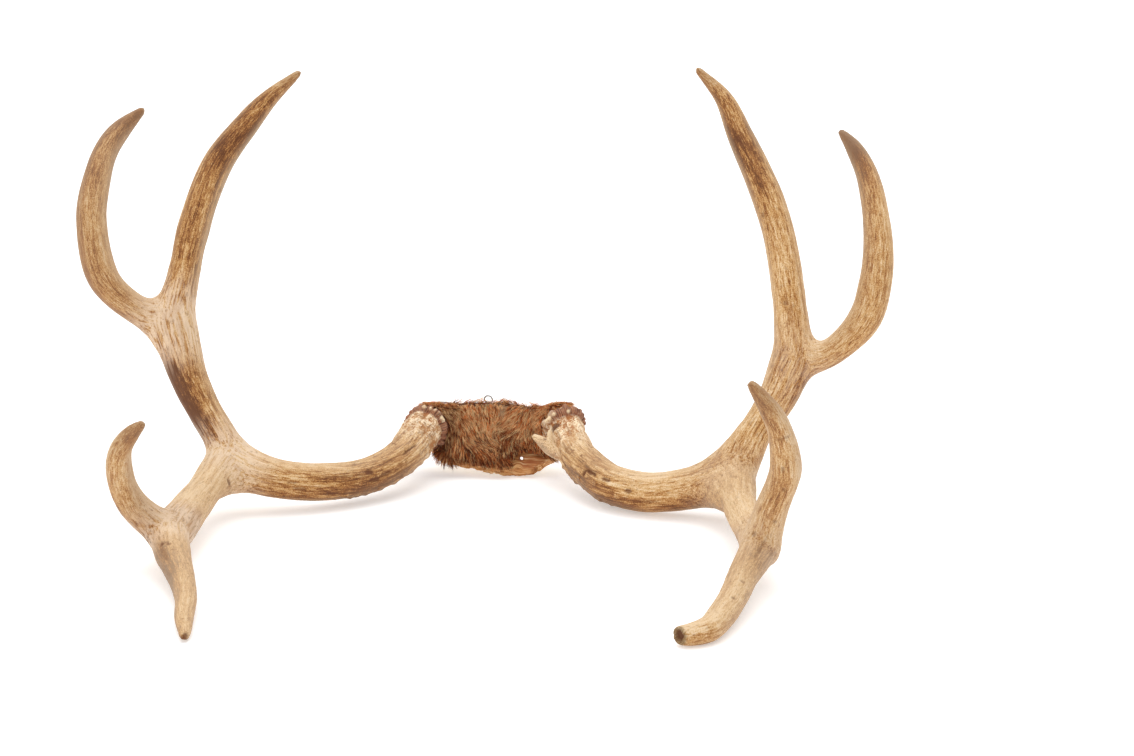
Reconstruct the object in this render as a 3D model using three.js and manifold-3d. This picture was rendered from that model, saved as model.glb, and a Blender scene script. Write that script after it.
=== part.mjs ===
// Rack of mule deer antlers on their sawn skull plate, millimetres, +Z up.
// It rests on its two front points and the front edge of the plate.
import * as THREE from 'three';
import { mergeVertices } from 'three/addons/utils/BufferGeometryUtils.js';
import Module from 'manifold-3d';

const wasm = await Module();
wasm.setup();

// ---- driving dimensions ----------------------------------------------------------

// Middle of the plate's front edge. Every point below is measured from it:
// +X towards the right antler, -Y towards the front points, +Z up.
const SKULL_PLACE = [1, 182, 0];
const SEAM = 0.3;

// The sawn plate leans back. Its own frame is [across, up the slope, out of the saw cut].
const SAW_TILT = THREE.MathUtils.degToRad(45);
const BONE_THICKNESS = 9;
const BONE_OUTLINE = [
  [29, 0.7], [38, 8], [48, 14.5], [58, 28], [57, 42], [46, 53], [30, 55], [8, 59], [-14, 60],
  [-34, 58], [-48, 55], [-59, 44], [-58, 29], [-50, 17], [-36, 9], [-20, 5.5], [-6, 2], [8, 0.6], [20, 0.4],
];
const PLATE_MIDDLE = [0, 32];
const BRAIN_HOLLOW = { place: [0, 34, 0], size: [27, 18, 5] };
const HOLLOW_SIDES = [18, 10];
// Natural hole for a nerve, running down and forward through the bone.
const NERVE_HOLE = { place: [20, 14.2, 4.5], turn: 0.576, radius: 1.8, length: 30, sides: 12 };

// The hide keeps off the plate's front edge and a bare patch at its right corner.
const HIDE_OUTLINE = [
  [15, 11], [23, 17], [34, 18], [46, 14], [60, 27], [59.5, 43], [48, 57], [32, 59.5], [8, 64.5], [-14, 65],
  [-36, 62.5], [-50, 60.5], [-61, 45], [-60, 28], [-51, 16], [-43, 9], [-34, 12], [-16, 7], [6, 4],
];
const HIDE_LAP = 5;
const FUR_TOP = 18;
const FUR_ROUNDING = 5;
const CUFF_RADIUS = 18;

// Burrs: a ring of knobs where each antler leaves its pedicle, facing its own way.
const BURR_AXIS = { left: [-0.24, -0.96, -0.12], right: [0.4, -0.78, -0.48] };
const BURR_HALF = 5;
const BURR_KNOBS = 15;
const BURR_KNOB_DEPTH = 0.08;
const BURR_RADIUS = 18.4;
const BURR_ROOM_SIDES = 20;
const BURR_ROOM_DEPTH = 14;
// Rings of the burr as [forward, share of the radius, share of the knob depth].
const BURR_PROFILE = [[-BURR_HALF, 0.84, 0.3], [-2, 0.98, 1], [1.5, 1, 1], [BURR_HALF, 0.82, 0.4]];

// Surface of the antlers.
const RING_STEP = 15;
const BEAM_SIDES = 14;
const TINE_SIDES = 10;
// Corners stand out a little, so that the flats between them don't lie too deep.
const CORNER_REACH = 1.02;
const BEAM_GROOVE = 0.035;
const TINE_GROOVE = 0.02;
const PEARLS = 8;
const PEARL_RADIUS = 2.6;
const PEARL_START = 16;
const PEARL_PITCH = 7;
const PEARL_WANDER = 0.9;
const PEARL_WANDER_TURN = 2.4;
const PEARL_SPREAD = 0.3;
const PEARL_SPREAD_TURN = 1.7;
const DOME_TURNS = [Math.PI / 5, Math.PI / 3];

// How far each side of a fork stays with the limb that carries it.
const FORK_REACH = 24;
const ROOT_LENGTH = 18;
const ROOT_SHARE = 0.8;

// Steel hanging wire, tied round both pedicles, with a small eye at its middle.
const WIRE_RADIUS = 0.6;
const WIRE_SIDES = 6;
const WIRE_STEPS = 46;
const WIRE_ROUTE = [
  [-69, 14, 26], [-72, 20, 33], [-69, 28, 42], [-62, 36, 48], [-50, 39.5, 51], [-34, 41.5, 49],
  [-18, 42.5, 48.5], [-10.5, 43, 49.5], [-7, 43.3, 52], [-8.7, 43.6, 55.4], [-12, 44, 55.7],
  [-14, 44.3, 52.6], [-10, 44.7, 49.6], [2, 43, 48.2], [18, 42, 47.5], [34, 41.5, 48.5],
  [50, 39.5, 51], [61, 35, 48], [66.5, 28, 43], [68.5, 20, 34], [69.6, 13, 29.4], [71.6, 10, 31],
];

// Limbs as [x, y, z, radius]. A beam starts inside its pedicle and its third point is
// the burr. A limb's first point is the fork that it grows from.
const BURR_POINT = 2;
const LEFT = {
  beam: [
    [-41, 28, 34, 14], [-49, 15, 38.5, 13.5], [-55.8, -3, 39.8, 14.5], [-60.2, -30, 34.3, 14.6],
    [-69, -56, 26.8, 13.5], [-90, -82, 19.9, 13.2], [-125, -106, 20.9, 14.1],
    [-160, -114, 26.8, 15.6], [-188, -112, 37, 15.3],
  ],
  back_stem: [
    [-188, -112, 37, 14], [-194.6, -108, 53, 13.4], [-207, -103, 72, 13.1], [-221, -99, 101, 14.9],
    [-231.2, -92, 139, 17],
  ],
  back_inner_tine: [
    [-231.2, -92, 139, 15], [-226.3, -79, 173, 12.6], [-221.5, -60, 208, 11.7],
    [-209, -35, 250.5, 11], [-188.5, -18, 280.5, 9.5], [-173.6, -8, 298.6, 7],
    [-151.3, 2, 318.4, 2.8],
  ],
  back_outer_tine: [
    [-231.2, -92, 137.5, 12.5], [-257.5, -96, 148.2, 11.4], [-280, -101, 171.5, 11.8],
    [-291.4, -90, 215, 10.8], [-291.4, -68, 246, 9.9], [-289, -52, 263, 9], [-282, -38, 276.6, 7.8],
    [-268, -26, 291, 3.2],
  ],
  front_stem: [[-188, -112, 37, 13.6], [-196.8, -170, 25.8, 12.9], [-197.2, -249, 21.4, 16]],
  front_upper_tine: [
    [-197.2, -249, 21.4, 12.5], [-218.4, -262, 45.4, 10.9], [-221.5, -278, 72, 9.2],
    [-217, -288, 90.2, 7.1], [-206.6, -296, 103.3, 5.3], [-198.7, -301, 110.1, 3.1],
  ],
  front_lower_tine: [
    [-197.2, -249, 21.4, 12.8], [-188.4, -277, 17.8, 13], [-170.3, -322, 12, 8.4],
    [-160.2, -352, 9, 6.9], [-154.7, -378, 6.6, 6.1], [-149.2, -398, 4.8, 4.2],
    [-147.2, -406.5, 3.8, 3],
  ],
};
const RIGHT = {
  beam: [
    [41, 28, 34, 14], [48, 14, 40, 13.5], [54, -1, 43, 13.5], [60.5, -17, 34.8, 13.6],
    [68, -38, 27, 14], [79, -60, 22.4, 14.2], [97, -86, 18, 14.5], [125, -102, 16.8, 14.9],
    [156, -107, 21.7, 16], [185, -110, 31, 16.8],
  ],
  back_stem: [
    [185, -110, 31, 15], [204, -107, 67, 12.7], [217.4, -106, 89, 14.2], [229, -103, 117, 16.8],
  ],
  back_inner_tine: [
    [229, -103, 117, 14.8], [227, -92, 154, 12.9], [219.5, -65, 201, 11.7], [210.5, -48, 229, 11.5],
    [200.5, -34, 252, 10.6], [190, -22, 273, 9.6], [177, -8, 300.6, 6.7], [157, 2, 322, 2.8],
  ],
  back_outer_tine: [
    [229, -103, 115.5, 12.4], [254, -106, 123.5, 10.7], [279, -109, 150, 12.2],
    [287.6, -104, 182, 11.6], [288, -88, 216, 9.8], [282.3, -65, 248.8, 8.1],
    [273.3, -48, 267.6, 6.1], [264.2, -36, 278.8, 2.9],
  ],
  front_stem: [[185, -110, 31, 14.4], [192.6, -185, 27.7, 11.9], [203, -262, 25.5, 13.4]],
  front_upper_tine: [
    [203, -262, 25.5, 13.2], [210, -272, 53, 11.7], [218, -287, 84, 10.7], [213, -298, 113, 7.9],
    [207, -302, 126, 6.8], [195, -307, 143.6, 3.4],
  ],
  front_lower_tine: [
    [203, -262, 25.5, 12.5], [191.5, -305, 16.9, 10.8], [184.8, -337, 13, 9.1],
    [177.2, -364, 10.4, 8.7], [169, -384, 8.2, 7.7], [160.3, -390, 7.2, 6.9], [154, -393, 7.2, 6.1],
  ],
  brow_point: [[57, -26, 30.5, 8.5], [43.5, -25, 33, 5.8], [33.2, -24, 36.8, 2.4]],
  brow_spur: [[53, -25, 32, 6], [49.5, -23.5, 36.8, 3.9], [46.8, -22, 41, 1.6]],
};

// Plain colours of the materials.
const BONE_COLOUR = 0xcdaa7d;
const BONE_ROUGHNESS = 0.62;
const FUR_COLOUR = 0x7a4a2c;
const FUR_ROUGHNESS = 0.95;
const STEEL_COLOUR = 0x8f8c88;
const STEEL_ROUGHNESS = 0.4;

// ---- solids ------------------------------------------------------------------------

const WELD = 1e-4;

// Closed mesh with shared corners, as the joining and cutting needs it.
function toSolid(geometry) {
  const bare = geometry.index ? geometry.toNonIndexed() : geometry.clone();
  bare.deleteAttribute('normal');
  bare.deleteAttribute('uv');
  const merged = mergeVertices(bare, WELD);
  return new wasm.Manifold(new wasm.Mesh({
    numProp: 3,
    vertProperties: new Float32Array(merged.attributes.position.array),
    triVerts: new Uint32Array(merged.index.array),
  }));
}

function toGeometry(solid) {
  const mesh = solid.getMesh();
  const geometry = new THREE.BufferGeometry();
  geometry.setAttribute('position', new THREE.BufferAttribute(mesh.vertProperties, 3));
  geometry.setIndex(new THREE.BufferAttribute(mesh.triVerts, 1));
  geometry.computeVertexNormals();
  return geometry;
}

// Skin over a stack of equal rings of corners, closed by a point at each end.
function skinRings(rings, firstPoint, lastPoint) {
  const sides = rings[0].length;
  const corners = [firstPoint, ...rings.flat(), lastPoint].flatMap((p) => [p.x, p.y, p.z]);
  const last = rings.length * sides + 1;
  const faces = [];
  for (let k = 0; k < sides; k += 1) {
    const next = (k + 1) % sides;
    faces.push(0, 1 + next, 1 + k);
    for (let j = 0; j + 1 < rings.length; j += 1) {
      const low = 1 + j * sides;
      const high = low + sides;
      faces.push(low + k, low + next, high + next, low + k, high + next, high + k);
    }
    faces.push(last, last - sides + k, last - sides + next);
  }
  const geometry = new THREE.BufferGeometry();
  geometry.setAttribute('position', new THREE.Float32BufferAttribute(corners, 3));
  geometry.setIndex(faces);
  return geometry;
}

// ---- limbs -------------------------------------------------------------------------

const FRAME_STEPS = 120;

// Smooth centre line with its radius and a frame that doesn't twist along it.
function makeLimb(points) {
  const line = new THREE.CatmullRomCurve3(points.map(([x, y, z]) => new THREE.Vector3(x, y, z)));
  const radii = points.map((point) => point[3]);
  const lengths = line.getLengths();
  const frames = line.computeFrenetFrames(FRAME_STEPS);
  const total = line.getLength();

  // Length along the line from its start to one of its own points.
  const lengthTo = (index) => lengths[Math.round((index / (points.length - 1)) * (lengths.length - 1))];

  const sectionAt = (length) => {
    const share = THREE.MathUtils.clamp(length / total, 0, 1);
    const place = line.getUtoTmapping(share) * (points.length - 1);
    const index = Math.min(Math.floor(place), points.length - 2);
    const tangent = line.getTangentAt(share);
    const binormal = frames.binormals[Math.round(share * FRAME_STEPS)];
    const across = new THREE.Vector3().crossVectors(binormal, tangent).normalize();
    return {
      centre: line.getPointAt(share),
      tangent,
      across,
      over: new THREE.Vector3().crossVectors(tangent, across),
      radius: THREE.MathUtils.lerp(radii[index], radii[index + 1], place - index),
    };
  };
  return { lengthTo, sectionAt, total };
}

function cornerAt(section, reach, angle, forward) {
  return section.centre.clone()
    .addScaledVector(section.across, reach * Math.cos(angle))
    .addScaledVector(section.over, reach * Math.sin(angle))
    .addScaledVector(section.tangent, forward);
}

// One ring of corners square to the limb, raised and sunk by its grooves.
function ringAt(section, radius, sides, groove, forward = 0) {
  return Array.from({ length: sides }, (_, k) => {
    const angle = (k / sides) * 2 * Math.PI;
    const grooved = 1 + groove * Math.cos((sides / 2) * angle);
    return cornerAt(section, radius * CORNER_REACH * grooved, angle, forward);
  });
}

// Solid of the limb between two lengths, flat at its start, flat or domed at its end.
function limbSolid(limb, from, to, { sides, groove, domed = false, grow = 0 }) {
  const steps = Math.max(1, Math.ceil((to - from) / RING_STEP));
  const lengths = Array.from({ length: steps + 1 }, (_, j) => from + ((to - from) * j) / steps);
  const sections = lengths.map(limb.sectionAt);
  const rings = sections.map((section) => ringAt(section, section.radius + grow, sides, groove));
  const end = sections.at(-1);
  const tip = end.centre.clone();
  if (domed) {
    for (const turn of DOME_TURNS) {
      rings.push(ringAt(end, end.radius * Math.cos(turn), sides, 0, end.radius * Math.sin(turn)));
    }
    tip.addScaledVector(end.tangent, end.radius);
  }
  return toSolid(skinRings(rings, sections[0].centre, tip));
}

// Section of a beam where its burr sits, turned to face the burr's own way.
function burrSection(side, beam) {
  const section = beam.sectionAt(beam.lengthTo(BURR_POINT));
  const tangent = new THREE.Vector3(...BURR_AXIS[side]).normalize();
  const over = new THREE.Vector3().crossVectors(tangent, section.across).normalize();
  return { ...section, tangent, over, across: new THREE.Vector3().crossVectors(over, tangent) };
}

// Ring of knobs round the foot of a beam.
function burrSolid(section) {
  const sides = BURR_KNOBS * 3;
  const rings = BURR_PROFILE.map(([forward, share, knobs]) => Array.from({ length: sides }, (_, k) => {
    const angle = (k / sides) * 2 * Math.PI;
    const knob = 1 + BURR_KNOB_DEPTH * knobs * Math.cos(BURR_KNOBS * angle);
    return cornerAt(section, BURR_RADIUS * share * knob, angle, forward);
  }));
  return toSolid(skinRings(rings, cornerAt(section, 0, 0, -BURR_HALF), cornerAt(section, 0, 0, BURR_HALF)));
}

// Pearls: small lumps in a wandering row along the beam's underside.
function pearlSolids(limb, burrPlace) {
  return Array.from({ length: PEARLS }, (_, i) => {
    const section = limb.sectionAt(burrPlace + PEARL_START + i * PEARL_PITCH);
    const down = new THREE.Vector3(0, 0, -1);
    down.addScaledVector(section.tangent, -down.dot(section.tangent)).normalize();
    const out = down.applyAxisAngle(section.tangent, PEARL_WANDER * Math.sin(i * PEARL_WANDER_TURN));
    const radius = PEARL_RADIUS * (1 + PEARL_SPREAD * Math.cos(i * PEARL_SPREAD_TURN));
    const pearl = new THREE.IcosahedronGeometry(radius, 0);
    const centre = section.centre.clone().addScaledVector(out, section.radius);
    return toSolid(pearl.translate(centre.x, centre.y, centre.z));
  });
}

const plainMaterial = (color, roughness, metalness = 0) => new THREE.MeshStandardMaterial({
  color, roughness, metalness,
});
const boneMaterial = () => plainMaterial(BONE_COLOUR, BONE_ROUGHNESS);

function namedMesh(name, solid, material) {
  const mesh = new THREE.Mesh(toGeometry(solid), material);
  mesh.name = name;
  return mesh;
}

// A branch bends smoothly out of the limb that carries it, so its line starts a little
// way back down that limb, slightly thinner so that it stays inside it.
function branchLimb(carrier, points) {
  const fork = new THREE.Vector3(...carrier.at(-1));
  const root = new THREE.Vector3(...carrier.at(-2)).sub(fork).setLength(ROOT_LENGTH).add(fork);
  return makeLimb([[...root, points[0][3] * ROOT_SHARE], ...points]);
}

const beamStyle = { sides: BEAM_SIDES, groove: BEAM_GROOVE };
const tineStyle = { sides: TINE_SIDES, groove: TINE_GROOVE };

// All the nodes of one antler. Each fork belongs to the limb that carries it.
function makeAntler(side, points) {
  const beam = makeLimb(points.beam);
  const burrPlace = beam.lengthTo(BURR_POINT);
  const limbs = {
    back_stem: branchLimb(points.beam, points.back_stem),
    front_stem: branchLimb(points.beam, points.front_stem),
    back_inner_tine: branchLimb(points.back_stem, points.back_inner_tine),
    back_outer_tine: branchLimb(points.back_stem, points.back_outer_tine),
    front_upper_tine: branchLimb(points.front_stem, points.front_upper_tine),
    front_lower_tine: branchLimb(points.front_stem, points.front_lower_tine),
  };
  const forks = {
    back_stem: ['back_inner_tine', 'back_outer_tine'],
    front_stem: ['front_upper_tine', 'front_lower_tine'],
  };
  const stub = (name) => limbSolid(limbs[name], 0, limbs[name].lengthTo(1) + FORK_REACH, tineStyle);
  const startOf = (name) => limbs[name].lengthTo(1) + FORK_REACH + SEAM;

  const parts = [limbSolid(beam, burrPlace, beam.total, { ...beamStyle, domed: true })];
  parts.push(burrSolid(burrSection(side, beam)), ...pearlSolids(beam, burrPlace));
  parts.push(stub('back_stem'), stub('front_stem'));
  for (const name of ['brow_point', 'brow_spur']) {
    if (points[name]) {
      const point = makeLimb(points[name]);
      parts.push(limbSolid(point, 0, point.total, { ...tineStyle, domed: true }));
    }
  }
  const group = new THREE.Group();
  const join = (solids) => solids.reduce((whole, solid) => whole.add(solid));
  group.add(namedMesh(`${side}_beam`, join(parts), boneMaterial()));
  for (const [stem, tines] of Object.entries(forks)) {
    const solid = limbSolid(limbs[stem], startOf(stem), limbs[stem].total, { ...tineStyle, domed: true });
    group.add(namedMesh(`${side}_${stem}`, join([solid, ...tines.map(stub)]), boneMaterial()));
    for (const tine of tines) {
      const tip = limbSolid(limbs[tine], startOf(tine), limbs[tine].total, { ...tineStyle, domed: true });
      group.add(namedMesh(`${side}_${tine}`, tip, boneMaterial()));
    }
  }
  return group;
}

// ---- skull plate and hide ----------------------------------------------------------

// More than the plate and its hide reach from their middle.
const WIDEST = 200;

// From the plate's own frame, with the saw cut at height 0, to the object's.
const plateTilt = new THREE.Matrix4().makeRotationX(SAW_TILT);

// Slab of a smooth closed outline, pushed out from its middle by `grow`.
function slabSolid(outline, low, high, { grow = 0, rounding = 0, corners = 30 } = {}) {
  const middle = new THREE.Vector2(...PLATE_MIDDLE);
  const points = outline.map(([x, y]) => {
    const arm = new THREE.Vector2(x, y).sub(middle);
    arm.setLength(arm.length() + grow - rounding).add(middle);
    return new THREE.Vector3(arm.x, arm.y, 0);
  });
  const edge = new THREE.CatmullRomCurve3(points, true).getPoints(corners).slice(0, -1);
  const shape = new THREE.Shape(edge.map((point) => new THREE.Vector2(point.x, point.y)));
  const geometry = new THREE.ExtrudeGeometry(shape, {
    depth: high - low - 2 * rounding,
    bevelEnabled: rounding > 0,
    bevelThickness: rounding,
    bevelSize: rounding,
    bevelSegments: 2,
  });
  geometry.translate(0, 0, low + rounding).applyMatrix4(plateTilt);
  return toSolid(geometry);
}

// Everything on the far side of the saw cut.
function beyondSawCut() {
  const size = 2 * WIDEST;
  const box = new THREE.BoxGeometry(size, size, size).translate(0, 0, -size / 2);
  return toSolid(box.applyMatrix4(plateTilt));
}

function pedicleSolid(points, grow) {
  const limb = makeLimb(points);
  return limbSolid(limb, 0, limb.lengthTo(BURR_POINT), { ...beamStyle, groove: 0, grow });
}

function cuffSolid(points) {
  const limb = makeLimb(points.map(([x, y, z]) => [x, y, z, CUFF_RADIUS]));
  return limbSolid(limb, 0, limb.lengthTo(BURR_POINT) - BURR_HALF, beamStyle);
}

// Room for a burr, which stands a seam's width off the plate and the hide.
function burrRoom(side, points) {
  const section = burrSection(side, makeLimb(points));
  const reach = BURR_RADIUS * (1 + BURR_KNOB_DEPTH) + SEAM;
  const [back, front] = [-BURR_HALF - SEAM, BURR_ROOM_DEPTH];
  const rings = [back, front].map((forward) => ringAt(section, reach, BURR_ROOM_SIDES, 0, forward));
  return toSolid(skinRings(rings, cornerAt(section, 0, 0, back), cornerAt(section, 0, 0, front)));
}

// The bone's form, grown on every side. Its outline's slant sides need more than their own gap.
const SLANT = 1.6;
const boneForm = (grow) => slabSolid(BONE_OUTLINE, -grow, BONE_THICKNESS + grow, { grow: grow * SLANT })
  .add(pedicleSolid(LEFT.beam, grow))
  .add(pedicleSolid(RIGHT.beam, grow));

function nerveHole() {
  const { place, turn, radius, length, sides } = NERVE_HOLE;
  const drill = new THREE.CylinderGeometry(radius, radius, length, sides);
  drill.rotateX(Math.PI / 2 + turn).translate(...place).applyMatrix4(plateTilt);
  return toSolid(drill);
}

function makeSkullPlate() {
  const hollow = new THREE.SphereGeometry(1, ...HOLLOW_SIDES).scale(...BRAIN_HOLLOW.size);
  hollow.translate(...BRAIN_HOLLOW.place).applyMatrix4(plateTilt);
  const solid = boneForm(0).subtract(beyondSawCut()).subtract(toSolid(hollow)).subtract(nerveHole())
    .subtract(burrRoom('left', LEFT.beam)).subtract(burrRoom('right', RIGHT.beam));
  return namedMesh('skull_plate', solid, boneMaterial());
}

function makeHide() {
  const fur = slabSolid(HIDE_OUTLINE, HIDE_LAP, FUR_TOP, { rounding: FUR_ROUNDING })
    .add(cuffSolid(LEFT.beam))
    .add(cuffSolid(RIGHT.beam));
  const solid = fur.subtract(boneForm(SEAM)).subtract(beyondSawCut())
    .subtract(burrRoom('left', LEFT.beam)).subtract(burrRoom('right', RIGHT.beam));
  return namedMesh('hide', solid, plainMaterial(FUR_COLOUR, FUR_ROUGHNESS));
}

// ---- hanging wire ------------------------------------------------------------------

function makeHangingWire() {
  const section = new THREE.Shape(Array.from({ length: WIRE_SIDES }, (_, k) => {
    const angle = (k / WIRE_SIDES) * 2 * Math.PI;
    return new THREE.Vector2(WIRE_RADIUS * Math.cos(angle), WIRE_RADIUS * Math.sin(angle));
  }));
  const route = new THREE.CatmullRomCurve3(WIRE_ROUTE.map((point) => new THREE.Vector3(...point)));
  const wire = new THREE.ExtrudeGeometry(section, { steps: WIRE_STEPS, extrudePath: route });
  return namedMesh('hanging_wire', toSolid(wire), plainMaterial(STEEL_COLOUR, STEEL_ROUGHNESS, 1));
}

const rack = new THREE.Group();
rack.position.set(...SKULL_PLACE);
rack.add(makeAntler('left', LEFT), makeAntler('right', RIGHT));
rack.add(makeSkullPlate(), makeHide(), makeHangingWire());

export default rack;
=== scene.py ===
"""Mule deer antler rack on its sawn skull plate: every visible surface, in metres."""
import copy
import functools
import math
import bmesh
import bpy
import numpy as np
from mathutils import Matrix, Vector
from mathutils.bvhtree import BVHTree
from mathutils.kdtree import KDTree


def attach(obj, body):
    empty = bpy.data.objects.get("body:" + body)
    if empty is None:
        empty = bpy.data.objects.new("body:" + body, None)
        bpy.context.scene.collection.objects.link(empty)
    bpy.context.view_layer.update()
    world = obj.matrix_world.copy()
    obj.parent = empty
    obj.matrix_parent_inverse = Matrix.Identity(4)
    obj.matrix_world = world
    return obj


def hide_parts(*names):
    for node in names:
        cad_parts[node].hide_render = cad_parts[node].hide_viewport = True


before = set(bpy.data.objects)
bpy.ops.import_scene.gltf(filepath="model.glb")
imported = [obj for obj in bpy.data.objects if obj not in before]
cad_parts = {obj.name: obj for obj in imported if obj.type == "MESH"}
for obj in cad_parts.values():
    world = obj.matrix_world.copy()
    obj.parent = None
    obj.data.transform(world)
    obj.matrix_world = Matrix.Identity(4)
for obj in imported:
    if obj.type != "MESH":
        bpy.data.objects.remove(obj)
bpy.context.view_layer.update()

MM = 0.001

# ---- the rack's own dimensions, in millimetres ---------------------------------------

# Middle of the plate's front edge. All the points below are measured from it.
SKULL_PLACE = np.array([1.0, 182.0, 0.0])
SAW_TILT = math.radians(45)
TILT_COS, TILT_SIN = math.cos(SAW_TILT), math.sin(SAW_TILT)

BURR_POINT = 2
BURR_AXIS = {"left": [-0.24, -0.96, -0.12], "right": [0.4, -0.78, -0.48]}
# The few cream-coloured knobs of each burr as [x, z].
PALE_KNOBS = {
    "left": [[-56, 59.5], [-50, 58.8], [-45.3, 57.4], [-43, 54], [-40.4, 50.7], [-39.3, 47.5]],
    "right": [[38.8, 55.8], [46.4, 56.7], [36.2, 51.6], [43.7, 51.5], [58.5, 56], [64.5, 52.1]],
}
# How far back a limb starts inside its carrier, and its thickness there.
ROOT_LENGTH = 18.0
ROOT_SHARE = 0.8
# Where the grain of the brow point and its spur starts.
BROW_RUN = 30.0

# Limbs as [x, y, z, radius]. A beam starts inside its pedicle and its third point is
# the burr. A limb's first point is the fork that it grows from.
LEFT = {
    "beam": [
        [-41, 28, 34, 14], [-49, 15, 38.5, 13.5], [-55.8, -3, 39.8, 14.5], [-60.2, -30, 34.3, 14.6],
        [-69, -56, 26.8, 13.5], [-90, -82, 19.9, 13.2], [-125, -106, 20.9, 14.1],
        [-160, -114, 26.8, 15.6], [-188, -112, 37, 15.3],
    ],
    "back_stem": [
        [-188, -112, 37, 14], [-194.6, -108, 53, 13.4], [-207, -103, 72, 13.1],
        [-221, -99, 101, 14.9], [-231.2, -92, 139, 17],
    ],
    "back_inner_tine": [
        [-231.2, -92, 139, 15], [-226.3, -79, 173, 12.6], [-221.5, -60, 208, 11.7],
        [-209, -35, 250.5, 11], [-188.5, -18, 280.5, 9.5], [-173.6, -8, 298.6, 7],
        [-151.3, 2, 318.4, 2.8],
    ],
    "back_outer_tine": [
        [-231.2, -92, 137.5, 12.5], [-257.5, -96, 148.2, 11.4], [-280, -101, 171.5, 11.8],
        [-291.4, -90, 215, 10.8], [-291.4, -68, 246, 9.9], [-289, -52, 263, 9],
        [-282, -38, 276.6, 7.8], [-268, -26, 291, 3.2],
    ],
    "front_stem": [[-188, -112, 37, 13.6], [-196.8, -170, 25.8, 12.9], [-197.2, -249, 21.4, 16]],
    "front_upper_tine": [
        [-197.2, -249, 21.4, 12.5], [-218.4, -262, 45.4, 10.9], [-221.5, -278, 72, 9.2],
        [-217, -288, 90.2, 7.1], [-206.6, -296, 103.3, 5.3], [-198.7, -301, 110.1, 3.1],
    ],
    "front_lower_tine": [
        [-197.2, -249, 21.4, 12.8], [-188.4, -277, 17.8, 13], [-170.3, -322, 12, 8.4],
        [-160.2, -352, 9, 6.9], [-154.7, -378, 6.6, 6.1], [-149.2, -398, 4.8, 4.2],
        [-147.2, -406.5, 3.8, 3],
    ],
}
RIGHT = {
    "beam": [
        [41, 28, 34, 14], [48, 14, 40, 13.5], [54, -1, 43, 13.5], [60.5, -17, 34.8, 13.6],
        [68, -38, 27, 14], [79, -60, 22.4, 14.2], [97, -86, 18, 14.5], [125, -102, 16.8, 14.9],
        [156, -107, 21.7, 16], [185, -110, 31, 16.8],
    ],
    "back_stem": [
        [185, -110, 31, 15], [204, -107, 67, 12.7], [217.4, -106, 89, 14.2], [229, -103, 117, 16.8],
    ],
    "back_inner_tine": [
        [229, -103, 117, 14.8], [227, -92, 154, 12.9], [219.5, -65, 201, 11.7],
        [210.5, -48, 229, 11.5], [200.5, -34, 252, 10.6], [190, -22, 273, 9.6],
        [177, -8, 300.6, 6.7], [157, 2, 322, 2.8],
    ],
    "back_outer_tine": [
        [229, -103, 115.5, 12.4], [254, -106, 123.5, 10.7], [279, -109, 150, 12.2],
        [287.6, -104, 182, 11.6], [288, -88, 216, 9.8], [282.3, -65, 248.8, 8.1],
        [273.3, -48, 267.6, 6.1], [264.2, -36, 278.8, 2.9],
    ],
    "front_stem": [[185, -110, 31, 14.4], [192.6, -185, 27.7, 11.9], [203, -262, 25.5, 13.4]],
    "front_upper_tine": [
        [203, -262, 25.5, 13.2], [210, -272, 53, 11.7], [218, -287, 84, 10.7],
        [213, -298, 113, 7.9], [207, -302, 126, 6.8], [195, -307, 143.6, 3.4],
    ],
    "front_lower_tine": [
        [203, -262, 25.5, 12.5], [191.5, -305, 16.9, 10.8], [184.8, -337, 13, 9.1],
        [177.2, -364, 10.4, 8.7], [169, -384, 8.2, 7.7], [160.3, -390, 7.2, 6.9],
        [154, -393, 7.2, 6.1],
    ],
    "brow_point": [
        [57, -26, 28, 8.5], [46.3, -27, 30, 5.6], [39, -25.5, 35.3, 4], [33.4, -24.3, 38.7, 2.2],
    ],
    "brow_spur": [[48.5, -27, 33, 5], [46, -31.5, 40.5, 2.9], [45.8, -33, 45.8, 1.5]],
}
GROWS_FROM = {
    "back_stem": "beam", "front_stem": "beam",
    "back_inner_tine": "back_stem", "back_outer_tine": "back_stem",
    "front_upper_tine": "front_stem", "front_lower_tine": "front_stem",
}

# ---- noise ---------------------------------------------------------------------------


def lattice(cell, seed):
    """Repeatable random number from -1 to 1 for each whole-number cell."""
    x, y, z = cell[..., 0], cell[..., 1], cell[..., 2]
    h = x * 73856093 ^ y * 19349663 ^ z * 83492791 ^ seed * 2654435761
    h = (h ^ (h >> 13)) * 1274126177
    h = (h ^ (h >> 16)) & 0xFFFFFF
    return h / 0x7FFFFF - 1.0


def noise(points, seed=1):
    """Smooth noise from -1 to 1, one cell to a unit."""
    cell = np.floor(points).astype(np.int64)
    part = points - cell
    ease = part ** 3 * (part * (part * 6 - 15) + 10)
    total = np.zeros(len(points))
    for corner in np.ndindex(2, 2, 2):
        corner = np.array(corner)
        weight = np.prod(np.where(corner, ease, 1 - ease), axis=1)
        total += weight * lattice(cell + corner, seed)
    return total


def fractal(points, seed=1, octaves=3):
    """Noise with finer noise on it."""
    total = sum(noise(points * 2 ** k, seed + k) * 0.5 ** k for k in range(octaves))
    return total / 1.4


def ramp(value, low, high):
    """0 at low, 1 at high, smooth between."""
    t = np.clip((value - low) / (high - low), 0, 1)
    return t * t * (3 - 2 * t)


def unit(v):
    return v / np.maximum(np.linalg.norm(v, axis=-1, keepdims=True), 1e-9)


def circle(sides):
    """Angles evenly round a circle."""
    return np.linspace(0, 2 * math.pi, sides, endpoint=False)


def nearest_gap(co, places):
    """Distance from each point to the nearest of these places."""
    return np.min(np.linalg.norm(co[:, None] - np.array(places)[None], axis=2), axis=1)


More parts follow.
